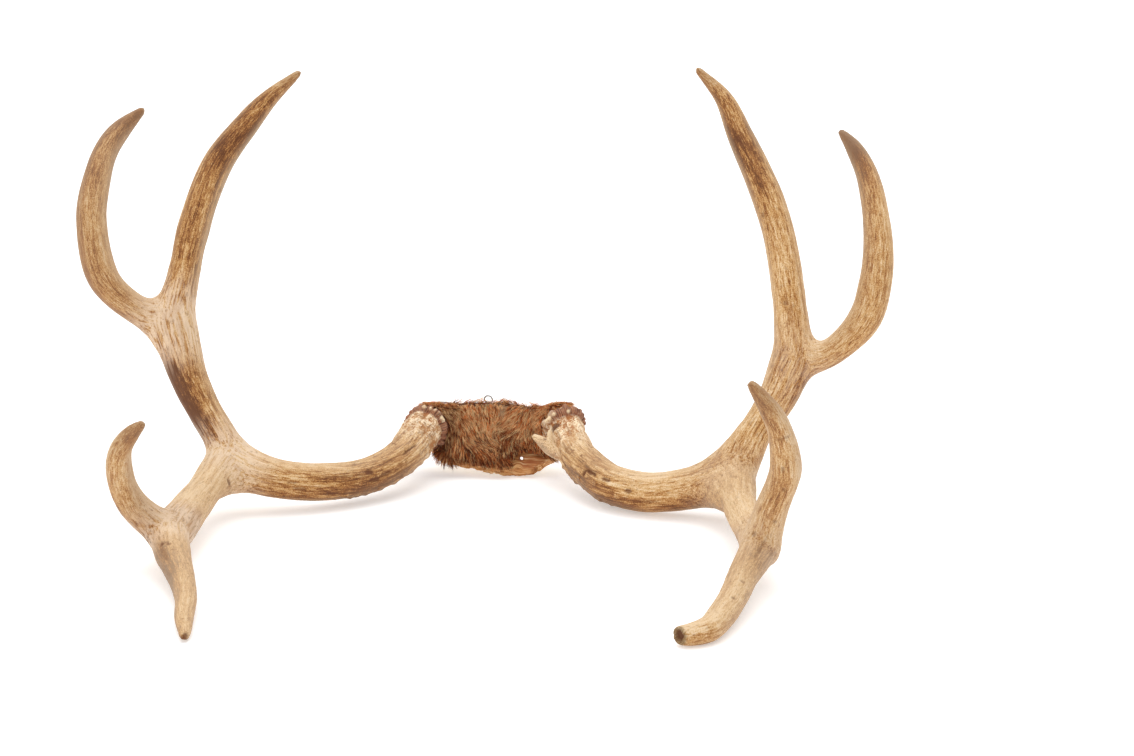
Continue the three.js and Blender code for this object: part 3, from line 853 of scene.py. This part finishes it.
class Nodes:
    """Short calls for building a node material."""

    def __init__(self, name):
        self.material = bpy.data.materials.new(name)
        self.material.use_nodes = True
        self.tree = self.material.node_tree
        self.tree.nodes.clear()
        output = self.new("OutputMaterial")
        self.shader = self.new("BsdfPrincipled")
        self.put(self.shader.outputs[0], output.inputs[0])

    def new(self, kind, inputs=None, **settings):
        """A node with these settings and inputs, which are numbers or other nodes' outputs."""
        node = self.tree.nodes.new(f"ShaderNode{kind}")
        for name, value in settings.items():
            setattr(node, name, value)
        for socket, value in (inputs or {}).items():
            self.put(value, node.inputs[socket])
        return node

    def put(self, value, socket):
        if isinstance(value, bpy.types.NodeSocket):
            self.tree.links.new(value, socket)
        else:
            socket.default_value = value

    def place(self):
        return self.new("TexCoord").outputs["Object"]

    def attribute(self, name, vector=False):
        return self.new("Attribute", attribute_name=name).outputs["Vector" if vector else "Fac"]

    def attributes(self, names):
        return [self.attribute(name) for name in names.split()]

    def stretch(self, vector, scale):
        return self.new("Mapping", {"Vector": vector, "Scale": scale}).outputs[0]

    def noise(self, vector, scale, detail=4.0, rough=0.55, distortion=0.0):
        return self.new("TexNoise", {
            "Vector": vector, "Scale": scale, "Detail": detail, "Roughness": rough,
            "Distortion": distortion,
        }).outputs[0]

    def cells(self, vector, scale):
        return self.new("TexVoronoi", {"Vector": vector, "Scale": scale}).outputs["Distance"]

    def between(self, value, low, high, to_low=0.0, to_high=1.0):
        inputs = dict(enumerate((value, low, high, to_low, to_high)))
        return self.new("MapRange", inputs, interpolation_type="SMOOTHSTEP").outputs[0]

    def math(self, kind, *values):
        """The values taken together one after another."""
        result = values[0]
        for value in values[1:]:
            result = self.new("Math", {0: result, 1: value}, operation=kind).outputs[0]
        return result

    def times(self, *values):
        return self.math("MULTIPLY", *values)

    def total(self, *values):
        return self.math("ADD", *values)

    def swing(self, value, amount, middle=0.5):
        """How far a value is from its middle, times an amount."""
        return self.times(self.math("SUBTRACT", value, middle), amount)

    def blend(self, factor, a, b):
        """Number between a and b."""
        return self.new("Mix", {0: factor, 2: a, 3: b}).outputs[0]

    def mix(self, factor, a, b):
        """Colour between a and b."""
        return self.new("Mix", {0: factor, 6: a, 7: b}, data_type="RGBA").outputs[2]

    def coat(self, base, colour, *factors):
        """The base with a colour laid over it, as strong as the factors multiplied."""
        return self.mix(self.times(*factors), base, srgb(*colour))

    def colours(self, value, *stops):
        """Colours along a value; each stop is (place, red, green, blue)."""
        node = self.new("ValToRGB", {0: value})
        points = node.color_ramp.elements
        while len(points) < len(stops):
            points.new(0.5)
        for point, (place, *colour) in zip(points, stops):
            point.position = place
            point.color = srgb(*colour)
        return node.outputs[0]

    def bump(self, height, strength, distance, below=None):
        """Fine relief; strength from 0 to 1, distance in metres."""
        node = self.new("Bump", {"Strength": strength, "Distance": distance, "Height": height})
        if below is not None:
            self.put(below, node.inputs["Normal"])
        return node.outputs[0]

    def finish(self, colour, roughness, relief=None, shine=None, metal=None):
        """Fills the shader's inputs that are given and returns the material."""
        for name, value in (("Base Color", colour), ("Roughness", roughness), ("Normal", relief),
                            ("Specular IOR Level", shine), ("Metallic", metal)):
            if value is not None:
                self.put(value, self.shader.inputs[name])
        return self.material


def along_grain(n, across, along, detail, rough):
    """Noise drawn out along the limbs and faded from one limb into the next."""
    total = 0.0
    for slot in GRAIN_SLOTS:
        grain = n.stretch(n.attribute(f"grain_{slot}", vector=True), (across, across, along))
        wave = n.noise(grain, 1.0, detail=detail, rough=rough)
        total = n.total(n.swing(wave, n.attribute(f"weight_{slot}")), total)
    return n.total(n.times(total, n.attribute("sharp")), 0.5)


@functools.cache
def antler_material():
    """Hard antler: tan, with fine grain along every limb, pale at the forks, dark in its pits."""
    n = Nodes("antler")
    patch, height, fleck, web, burr, top, dark, foot, tip, coarse, gnarled = n.attributes(
        "patch height fleck web burr top dark base tip coarse gnarled")
    skin = n.stretch(n.place(), (1 / MM, 1 / MM, 1 / MM))

    lines = along_grain(n, 0.55, 0.04, 5, 0.66)
    fibres = along_grain(n, 1.5, 0.16, 3, 0.6)
    bands = along_grain(n, 0.2, 0.022, 3, 0.6)
    grit = n.noise(skin, 1.3, detail=3, rough=0.7)
    blotch = n.noise(skin, 0.16, detail=4, rough=0.6)
    bold = n.times(n.blend(coarse, 0.35, 1.0), n.blend(web, 1.0, 0.45))
    detail = n.total(n.swing(lines, bold), n.swing(fibres, 0.7), n.swing(grit, 0.75))

    # Broad tone: paler on top, which is painted light from above, and at the foot of the beam;
    # deeper where the dark attribute holds each limb's tone and the painted side shade.
    broad = n.total(
        n.swing(patch, 0.12), n.swing(bands, n.blend(coarse, 0.26, 0.46)), n.swing(blotch, 0.22),
        n.times(foot, 0.03), n.swing(top, 0.27, middle=0.59), n.times(dark, -0.11),
    )
    base = n.colours(
        n.total(broad, 0.462, detail),
        (0.22, 96, 54, 22), (0.34, 146, 92, 42), (0.44, 184, 134, 76), (0.54, 206, 166, 112),
        (0.68, 228, 200, 162),
    )

    # Painted rim light: paler where the surface turns edge-on. Also paler at forks, greyer in
    # places, dull at tips, cream brow.
    painted_rim_light = n.math("SUBTRACT", 1.0, n.attribute("front"))
    base = n.coat(base, (224, 196, 158), painted_rim_light, n.blend(coarse, 0.6, 0.3))
    base = n.coat(base, (230, 206, 180), n.attribute("cream"), n.between(lines, 0.38, 0.55))
    base = n.coat(base, (156, 124, 98), n.attribute("grey"), 0.5)
    base = n.coat(base, (140, 104, 72), tip, 0.5)
    base = n.coat(base, (238, 214, 178), n.attribute("brow"), n.between(grit, 0.35, 0.55, 0.1, 0.6))

    # The foot of the beam is a tangle of cream over orange brown: partly its own colour, partly
    # painted highlight on the tangle's raised parts and painted shade between them.
    tangle = n.noise(skin, 0.34, detail=4, rough=0.62, distortion=1.6)
    tangle = n.total(n.times(n.attribute("knots"), 0.10), tangle)
    base = n.coat(base, (170, 106, 54), foot, n.between(tangle, 0.52, 0.42))
    base = n.coat(base, (246, 226, 196), foot, n.between(tangle, 0.53, 0.61, 0.0, 0.95))

    # Worn grooves, short flecks and cracks, most of all on the gnarled part of the beam.
    base = n.coat(base, (150, 98, 52), n.between(height, 0.46, 0.16), n.blend(gnarled, 0.25, 0.65))
    base = n.coat(base, (118, 72, 38), n.between(fleck, 0.28, 0.14), n.blend(gnarled, 0.35, 0.85))
    base = n.coat(base, (124, 78, 40), n.attribute("crease"),
                  n.between(blotch, 0.48, 0.56, 0.0, 0.7), n.blend(gnarled, 0.3, 1.0))
    base = n.coat(base, (140, 96, 58), n.between(grit, 0.36, 0.28, 0.0, 0.4))
    specks = n.noise(skin, 0.62, detail=1, rough=0.5)
    base = n.coat(base, (128, 80, 40), n.between(specks, 0.68, 0.76, 0.0, 0.6))

    # The burr is reddish brown and finely ribbed, with cream on a few of its knobs.
    ribs = n.noise(n.attribute("spoke", vector=True), 2.2, detail=3, rough=0.6)
    ribbed = n.colours(ribs, (0.36, 74, 32, 20), (0.48, 136, 78, 54), (0.60, 180, 124, 90))
    base = n.mix(n.times(burr, 0.9), base, ribbed)
    base = n.coat(base, (250, 226, 186), n.attribute("rim"), 0.95)
    base = n.coat(base, (112, 86, 50), n.attribute("broken"), n.between(grit, 0.35, 0.6, 0.95, 0.6))
    base = n.coat(base, (98, 54, 26), n.attribute("scar"), 0.9)

    relief = n.bump(lines, 0.8, 0.0008)
    relief = n.bump(fibres, 0.6, 0.0004, relief)
    relief = n.bump(n.times(ribs, burr), 0.9, 0.0012, relief)
    relief = n.bump(grit, 0.5, 0.0003, relief)
    return n.finish(base, n.between(fibres, 0.3, 0.7, 0.68, 0.5), relief, shine=0.3)


def bone_material():
    """Skull bone: golden and streaked outside, spongy where it was sawn."""
    n = Nodes("skull_bone")
    plate = n.attribute("plate", vector=True)
    sawn, bare = n.attributes("sawn bare")
    fibre = n.noise(n.stretch(plate, (0.09, 1, 1)), 0.55, detail=5, rough=0.65)
    wide = n.noise(plate, 0.07, detail=3)
    base = n.colours(
        fibre,
        (0.34, 118, 64, 26), (0.46, 180, 120, 64), (0.56, 214, 166, 108), (0.68, 242, 214, 172),
    )
    base = n.coat(base, (196, 136, 80), n.between(wide, 0.4, 0.65, 0.0, 0.45))
    base = n.coat(base, (146, 76, 34), bare, n.between(fibre, 0.65, 0.4, 0.35, 0.85))
    sponge = n.times(sawn, n.between(n.cells(plate, 0.75), 0.32, 0.12))
    cut = n.mix(n.between(wide, 0.35, 0.65), srgb(214, 190, 150), srgb(190, 158, 112))
    base = n.mix(sawn, base, cut)
    base = n.coat(base, (112, 76, 46), sponge, 0.8)
    relief = n.bump(fibre, 0.7, 0.0004)
    relief = n.bump(n.math("SUBTRACT", 1.0, sponge), 0.8, 0.0004, relief)
    return n.finish(base, n.between(fibre, 0.3, 0.7, 0.7, 0.5), relief, shine=0.35)


def skin_material():
    """Dried hide under the hair."""
    n = Nodes("deer_skin")
    plate = n.attribute("plate", vector=True)
    wide = n.noise(plate, 0.16, detail=4, rough=0.6)
    fine = n.noise(plate, 1.4, detail=4, rough=0.7)
    base = n.mix(n.between(wide, 0.35, 0.65), srgb(96, 54, 32), srgb(128, 76, 46))
    base = n.coat(base, (60, 32, 18), n.between(fine, 0.45, 0.3, 0.0, 0.6))
    return n.finish(base, n.between(fine, 0.3, 0.7, 0.85, 0.65), n.bump(fine, 0.8, 0.0005))


@functools.cache
def hair_material():
    """Deer hair: dark at its root as painted shade deep in the coat, red-brown along it, pale at
    some tips.
    """
    n = Nodes("deer_hair")
    along, chance, gold, grey, dark = n.attributes("along chance gold grey dark")
    base = n.colours(
        chance,
        (0.28, 72, 20, 2), (0.46, 174, 76, 20), (0.62, 242, 138, 64), (0.80, 255, 212, 154),
    )
    base = n.coat(base, (246, 208, 154), gold, n.between(chance, 0.3, 0.6))
    base = n.coat(base, (176, 150, 136), grey)
    base = n.coat(base, (80, 26, 4), dark, n.between(chance, 0.95, 0.6, 0.1, 0.85))
    # Painted shade: the hairs darken towards their roots, deep in the coat.
    base = n.coat(base, (62, 22, 6), n.between(along, 0.45, 0.0, 0.0, 0.85))
    base = n.coat(base, (238, 200, 150), n.between(along, 0.55, 0.95),
                  n.between(chance, 0.6, 0.9, 0.0, 0.6))
    ring = n.noise(n.attribute("strand", vector=True), 3.0, detail=2)
    base = n.coat(base, (214, 172, 128), n.between(ring, 0.4, 0.65, 0.0, 0.2))
    return n.finish(base, n.between(chance, 0.0, 1.0, 0.6, 0.42), shine=0.08)


def wire_material():
    """Dull galvanised steel."""
    n = Nodes("wire_steel")
    place = n.place()
    drawn = n.noise(place, 900, detail=3)
    tone = n.noise(place, 90, detail=3)
    base = n.mix(n.between(tone, 0.4, 0.65), (0.42, 0.41, 0.39, 1), (0.27, 0.25, 0.23, 1))
    rough = n.between(drawn, 0.3, 0.7, 0.32, 0.5)
    return n.finish(base, rough, n.bump(drawn, 0.4, 0.00005), metal=1.0)


# ---- skull plate, hide and wire ------------------------------------------------------


def to_plate(co):
    """From object metres to the plate's own millimetres: across, up its slope, and out."""
    x, y, z = (co / MM - SKULL_PLACE).T
    return np.stack([x, y * TILT_COS + z * TILT_SIN, z * TILT_COS - y * TILT_SIN], axis=1)


def turn_to_world(plate):
    """Directions in the plate's own axes, turned into the object's."""
    across, slope, out = plate.T
    return np.stack([across, slope * TILT_COS - out * TILT_SIN, slope * TILT_SIN + out * TILT_COS],
                    axis=1)


def copy_of(node, name):
    piece = add_object(name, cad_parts[node].data.copy())
    piece.data.materials.clear()
    return piece


def make_skull_plate():
    piece = copy_of("skull_plate", "skull_plate_bone")
    mesh, co = even_remesh(piece, PLATE_VOXEL * MM, 4)
    plate, out = to_plate(co), normals(mesh)
    sawn = ramp(plate[:, 2], 0.9, 0.2)
    fibre = fractal(plate * np.array([0.03, 0.32, 0.32]), 71)
    crack = -np.abs(noise(plate * np.array([0.035, 0.5, 0.5]), 77))
    rise = (0.45 * fibre + 0.5 * (crack + 0.25)) * (1 - sawn)
    ragged = fractal(plate * np.array([0.16, 0.5, 0.5]), 81) * ramp(plate[:, 1], 9, 3)
    rise += 1.2 * ragged
    rise += 0.12 * noise(plate * np.array([0.15, 1.1, 0.3]), 85) * sawn
    # The front edge is splintered: its fibres end at different lengths.
    splinter = fractal(plate * np.array([0.11, 0, 0.28]), 83) * ramp(plate[:, 1], 12, 4)
    up_slope = turn_to_world(np.array([[0.0, 1.0, 0.0]]))
    co = co + up_slope * (2.6 * splinter + 1.0 * np.abs(splinter))[:, None] * MM
    set_coords(mesh, co + out * rise[:, None] * MM)
    # The bone is bare round the hole near its lower right.
    bare = ramp(np.hypot((plate[:, 0] - 29) / 13, (plate[:, 1] - 9) / 8), 1.3, 0.6)
    add_values(mesh, plate=plate, sawn=sawn, bare=bare * ramp(plate[:, 2], 6, 8))
    dress(piece, bone_material())
    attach(piece, "root")
    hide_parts("skull_plate")


# Depth of the coat, and length and half thickness of a hair.
HAIR_HEIGHT = 4.5
HAIR_LENGTH = 12.5
HAIR_WIDTH = 0.2
STRANDS = 27000
STRANDS_A_PIECE = 9000
# Hairs that lean towards one leader, on average.
TUFT = 3
# A hair is three rings of three points, as [how far along it, how thick], and a tip.
STRAND_RINGS = ((0.0, 1.0), (0.38, 0.9), (0.74, 0.6))
STRAND_POINTS = 10

# The way the hair lies, as [across, up the slope, way across, way up the slope].
HAIR_WAYS = [
    [-54, 61, -0.40, -0.80], [-30, 53, 0.40, -0.81], [-22, 58, 0.32, -0.86], [-38, 34, 0.10, -0.95],
    [-18, 25, 0.52, -0.73], [-6, 25, 0.60, -0.67], [-32, 13, 0.16, -0.93], [-47, 8, -0.34, -0.86],
    [-6, 50, 0.40, -0.80], [2, 51, -0.08, -0.90], [12, 52, -0.50, -0.60], [10, 39, -0.60, -0.67],
    [6, 20, -0.28, -0.86], [18, 25, 0.16, -0.90], [26, 44, 0.20, -0.90], [26, 58, -0.16, -0.90],
    [9, 10, 0.48, -0.76], [38, 9, 0.48, -0.76], [42, 58, 0.40, -0.60], [58, 40, 0.50, -0.70],
    [-62, 35, -0.50, -0.70],
]

# Where the coat changes colour: [across, up the slope, reach across, reach up, strength].
GOLD_HAIR = [[-18, 27, 13, 10, 0.5], [-32, 10, 7, 5, 0.5], [-8, 20, 9, 8, 0.4], [8, 44, 8, 8, 0.3]]
DARK_HAIR = [
    [-39, 30, 6.5, 26, 0.95], [9, 27, 11, 14, 0.75], [-48, 10, 10, 8, 0.9], [38, 12, 13, 8, 0.9],
    [0, 6, 34, 4.5, 0.6], [24, 30, 8, 12, 0.4], [-26, 9, 24, 9, 0.7],
]
GREY_HAIR = [[5, 55, 4.5, 4.5, 0.8]]
WORN_HAIR = [[25, 16, 15, 9, 0.9]]


def spots(plate, table):
    """How strongly each point lies in the table's soft-edged patches."""
    total = np.zeros(len(plate))
    wobble = 0.25 * noise(plate * 0.12, 91)
    for across, slope, reach_across, reach_slope, strength in table:
        away = np.hypot((plate[:, 0] - across) / reach_across, (plate[:, 1] - slope) / reach_slope)
        total = np.maximum(total, strength * ramp(away + wobble, 1.25, 0.45))
    return total


def hair_way(plate):
    """Direction in which hair lies at each point, in the plate's own axes."""
    ways = np.array(HAIR_WAYS)
    gap = ((plate[:, None, :2] - ways[None, :, :2]) ** 2).sum(2)
    weight = 1 / (gap + 16) ** 1.7
    flat = (weight[:, :, None] * ways[None, :, 2:]).sum(1) / weight.sum(1)[:, None]
    swirl = 0.3 * noise(plate * 0.09, 95) + 0.14 * noise(plate * 0.3, 96)
    c, s = np.cos(swirl), np.sin(swirl)
    return np.stack([flat[:, 0] * c - flat[:, 1] * s, flat[:, 0] * s + flat[:, 1] * c,
                     np.zeros(len(plate))], axis=1)


def search_tree(*meshes):
    """Finds the nearest place on the meshes, and what a ray hits."""
    whole = bmesh.new()
    for mesh in meshes:
        whole.from_mesh(mesh)
    tree = BVHTree.FromBMesh(whole)
    whole.free()
    return tree


def make_skin():
    """The hide without its hair: its piece, where hair grows on it, and how deep the coat is."""
    piece = copy_of("hide", "hide_skin")
    mesh, co = even_remesh(piece, HIDE_VOXEL * MM, 4)
    out = normals(mesh)
    hard_nodes = ("skull_plate", "left_beam", "right_beam")
    hard = search_tree(*(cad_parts[node].data for node in hard_nodes))
    own = search_tree(mesh)
    clear, depth = np.zeros(len(co)), np.zeros(len(co))
    for i, (point, way) in enumerate(zip(co, out)):
        clear[i] = hard.find_nearest(Vector(point))[3] / MM
        hit = own.ray_cast(Vector(point - way * 0.3 * MM), Vector(-way))[3]
        depth[i] = 20 if hit is None else hit / MM
    hairy = ramp(clear, 1.2, 2.6)
    sink = hairy * np.minimum(HAIR_HEIGHT, 0.6 * depth)
    ends = edge_ends(mesh)
    for _ in range(10):
        sink = 0.5 * sink + 0.5 * around(sink[:, None], ends)[:, 0]
    plate = to_plate(co)
    co = co - out * sink[:, None] * MM
    co = smoothed(mesh, co, 0.5, 3)
    co = co + out * (0.35 * fractal(plate * 0.3, 101))[:, None] * MM
    set_coords(mesh, co)
    add_values(mesh, plate=plate)
    dress(piece, skin_material())
    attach(piece, "root")
    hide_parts("hide")
    return piece, hairy, sink


def scatter(mesh, chance, count, rng):
    """Random places on the mesh's faces: point, normal and the nearest vertex."""
    mesh.calc_loop_triangles()
    corners = np.empty(len(mesh.loop_triangles) * 3, np.int32)
    mesh.loop_triangles.foreach_get("vertices", corners)
    corners = corners.reshape(-1, 3)
    co, out = coords(mesh), normals(mesh)
    a, b, c = (co[corners[:, k]] for k in range(3))
    area = np.linalg.norm(np.cross(b - a, c - a), axis=1) * chance[corners].min(1)
    pick = rng.choice(len(corners), count, p=area / area.sum())
    u, v = rng.random(count), rng.random(count)
    flip = u + v > 1
    u[flip], v[flip] = 1 - u[flip], 1 - v[flip]
    at = a[pick] + (b - a)[pick] * u[:, None] + (c - a)[pick] * v[:, None]
    return at, out[corners[pick, 0]], corners[pick, 0]


def make_fur(skin, hairy, sink):
    rng = np.random.default_rng(5)
    root, out, vertex = scatter(skin.data, hairy, STRANDS, rng)
    room = np.maximum(sink[vertex], 1.0)
    plate = to_plate(root)
    way = turn_to_world(hair_way(plate))
    plate_out = turn_to_world(np.array([[0.0, 0.0, 1.0]]))[0]
    side_wall = 1 - ramp(out @ plate_out, 0.2, 0.8)
    way = way - plate_out * (0.5 * side_wall)[:, None] + rng.normal(0, 0.09, root.shape)
    way = unit(way - out * (way * out).sum(1, keepdims=True))
    length = HAIR_LENGTH * rng.uniform(0.65, 1.15, STRANDS) * (0.55 + 0.45 * ramp(room, 1.5, 4.5))
    length *= 1 - 0.6 * spots(plate, WORN_HAIR)
    tip_rise = np.minimum(room * rng.uniform(0.5, 1.25, STRANDS), length * 0.6)
    tip_rise += 0.6 * ramp(plate[:, 1], 46, 56) * rng.random(STRANDS)
    reach = np.sqrt(np.maximum(length ** 2 - tip_rise ** 2, 1.0))

    # Hair gathers into tufts: each strand leans towards the tip of the strand that leads it.
    leads = rng.choice(STRANDS, STRANDS // TUFT, replace=False)
    tree = KDTree(len(leads))
    for k, lead in enumerate(leads):
        tree.insert(Vector(root[lead]), k)
    tree.balance()
    leader = np.array([leads[tree.find(Vector(point))[1]] for point in root])
    tip = root + (way * reach[:, None] + out * tip_rise[:, None]) * MM
    gather = rng.uniform(0.2, 0.75, STRANDS)[:, None]
    tone = 0.3 * rng.random(STRANDS) + 0.7 * rng.random(STRANDS)[leader]
    tone += 0.21 * ramp(plate[:, 1], 18, 46) - 0.1 * ramp(plate[:, 1], 22, 8)
    thickness = HAIR_WIDTH * (0.6 + 1.1 * rng.random(STRANDS) ** 3)
    tip = tip * (1 - gather) + tip[leader] * gather
    middle = root + (tip - root) * 0.45 + out * (tip_rise * 0.42)[:, None] * MM
    middle += rng.normal(0, 0.25, root.shape) * MM

    side = unit(np.cross(way, out))
    up = unit(np.cross(side, way))
    verts = np.zeros((STRANDS, STRAND_POINTS, 3))
    along = np.zeros((STRANDS, STRAND_POINTS))
    start = root - out * 0.4 * MM
    for j, (share, width) in enumerate(STRAND_RINGS):
        centre = (1 - share) ** 2 * start + 2 * share * (1 - share) * middle + share ** 2 * tip
        for k in range(3):
            turn = k * 2 * math.pi / 3 + 0.5
            arm = side * math.cos(turn) + up * math.sin(turn)
            verts[:, j * 3 + k] = centre + arm * (thickness * width * MM)[:, None]
            along[:, j * 3 + k] = share
    verts[:, -1] = tip
    along[:, -1] = 1
    one = [(0, 2, 1)]
    for j in (0, 3):
        one += [(j + k, j + (k + 1) % 3, j + 3 + (k + 1) % 3, j + 3 + k) for k in range(3)]
    one += [(6 + k, 6 + (k + 1) % 3, 9) for k in range(3)]

    # What a whole hair has one value of.
    values = {"chance": tone}
    for name, table, least in (("gold", GOLD_HAIR, 0.3), ("dark", DARK_HAIR, 0.6),
                               ("grey", GREY_HAIR, 0.3)):
        values[name] = spots(plate, table) * rng.uniform(least, 1, STRANDS)
    strand = plate[:, None] + along[:, :, None] * 4
    for number, first in enumerate(range(0, STRANDS, STRANDS_A_PIECE), 1):
        part = slice(first, first + STRANDS_A_PIECE)
        starts = range(0, len(verts[part]) * STRAND_POINTS, STRAND_POINTS)
        faces = [tuple(i + base for i in face) for base in starts for face in one]
        piece = new_object(f"fur_{number}", verts[part].reshape(-1, 3), faces)
        add_values(piece.data, along=along[part].ravel())
        add_values(piece.data, **{k: np.repeat(v[part], STRAND_POINTS) for k, v in values.items()})
        add_values(piece.data, strand=strand[part].reshape(-1, 3))
        dress(piece, hair_material())
        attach(piece, "root")
        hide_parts("hide")


WIRE_RADIUS = 0.6
WIRE_SIDES = 12
WIRE_ROUTE = [
    [-69, 14, 26], [-72, 20, 33], [-69, 28, 42], [-62, 36, 48], [-50, 39.5, 51], [-34, 41.5, 49],
    [-18, 42.5, 48.5], [-10.5, 43, 49.5], [-7, 43.3, 52], [-8.7, 43.6, 55.4], [-12, 44, 55.7],
    [-14, 44.3, 52.6], [-10, 44.7, 49.6], [2, 43, 48.2], [18, 42, 47.5], [34, 41.5, 48.5],
    [50, 39.5, 51], [61, 35, 48], [66.5, 28, 43], [68.5, 20, 34], [69.6, 13, 29.4], [71.6, 10, 31],
]


def make_wire():
    wire = Limb([[*point, WIRE_RADIUS] for point in WIRE_ROUTE])
    angle = circle(WIRE_SIDES)
    rings = [c + wire.ring(i, angle) * WIRE_RADIUS for i, c in enumerate(wire.centre)]
    verts, faces = close_rings(rings, wire.centre[0], wire.centre[-1])
    piece = new_object("wire", (verts + SKULL_PLACE) * MM, faces)
    dress(piece, wire_material())
    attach(piece, "root")
    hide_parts("hanging_wire")


# ---- camera, floor and light ---------------------------------------------------------

CAMERA_AZIMUTH = math.radians(4)
CAMERA_ELEVATION = math.radians(12)
CAMERA_DISTANCE = 1.6
CAMERA_LENS = 63.5
CAMERA_SENSOR = 36
CAMERA_AIM = Vector((0.0565, 0.2022, 0.0767))
FLOOR_REACH = 30.0
# How brightly the floor glows, and the even light from all round.
FLOOR_GLOW = 0.3
SKY_STRENGTH = 0.72
# Suns as [name, azimuth, elevation, how wide its disc is, power], in degrees.
SUNS = (("overhead", 170, 74, 60, 1.5), ("front", -35, 40, 70, 0.7))


def bearing(azimuth, elevation):
    """Direction away from the object, for a bearing and a height."""
    return Vector((
        math.sin(azimuth) * math.cos(elevation),
        -math.cos(azimuth) * math.cos(elevation),
        math.sin(elevation),
    ))


def make_camera():
    data = bpy.data.cameras.new("camera")
    data.lens = CAMERA_LENS
    data.sensor_width = CAMERA_SENSOR
    camera = add_object("camera", data)
    back = bearing(CAMERA_AZIMUTH, CAMERA_ELEVATION)
    camera.location = CAMERA_AIM + back * CAMERA_DISTANCE
    camera.rotation_euler = back.to_track_quat("Z", "Y").to_euler()
    bpy.context.scene.camera = camera


def make_floor():
    r = FLOOR_REACH
    floor = new_object("floor", [(-r, -r, 0), (r, -r, 0), (r, r, 0), (-r, r, 0)], [(0, 1, 2, 3)])
    n = Nodes("floor")
    tone = n.noise(n.place(), 0.8, detail=1)
    white = n.mix(n.between(tone, 0.3, 0.7), (0.9, 0.9, 0.9, 1), (0.88, 0.88, 0.88, 1))
    n.shader.inputs["Emission Color"].default_value = (1, 1, 1, 1)
    n.shader.inputs["Emission Strength"].default_value = FLOOR_GLOW
    floor.data.materials.append(n.finish(white, 0.9))


def make_sun(name, azimuth, elevation, angle, power):
    """Soft light from a bearing and a height, in degrees."""
    data = bpy.data.lights.new(name, "SUN")
    data.angle = math.radians(angle)
    data.energy = power
    way = bearing(math.radians(azimuth), math.radians(elevation))
    add_object(name, data).rotation_euler = way.to_track_quat("Z", "Y").to_euler()


def make_light():
    world = bpy.data.worlds.new("studio")
    world.use_nodes = True
    background = world.node_tree.nodes["Background"]
    background.inputs["Color"].default_value = (1, 1, 1, 1)
    background.inputs["Strength"].default_value = SKY_STRENGTH
    bpy.context.scene.world = world
    for sun in SUNS:
        make_sun(*sun)
    view = bpy.context.scene.view_settings
    view.view_transform = "Standard"
    view.exposure = 0.0


make_camera()
make_floor()
make_light()
make_antler("left", LEFT, 11)
make_antler("right", RIGHT, 23)
make_skull_plate()
make_fur(*make_skin())
make_wire()
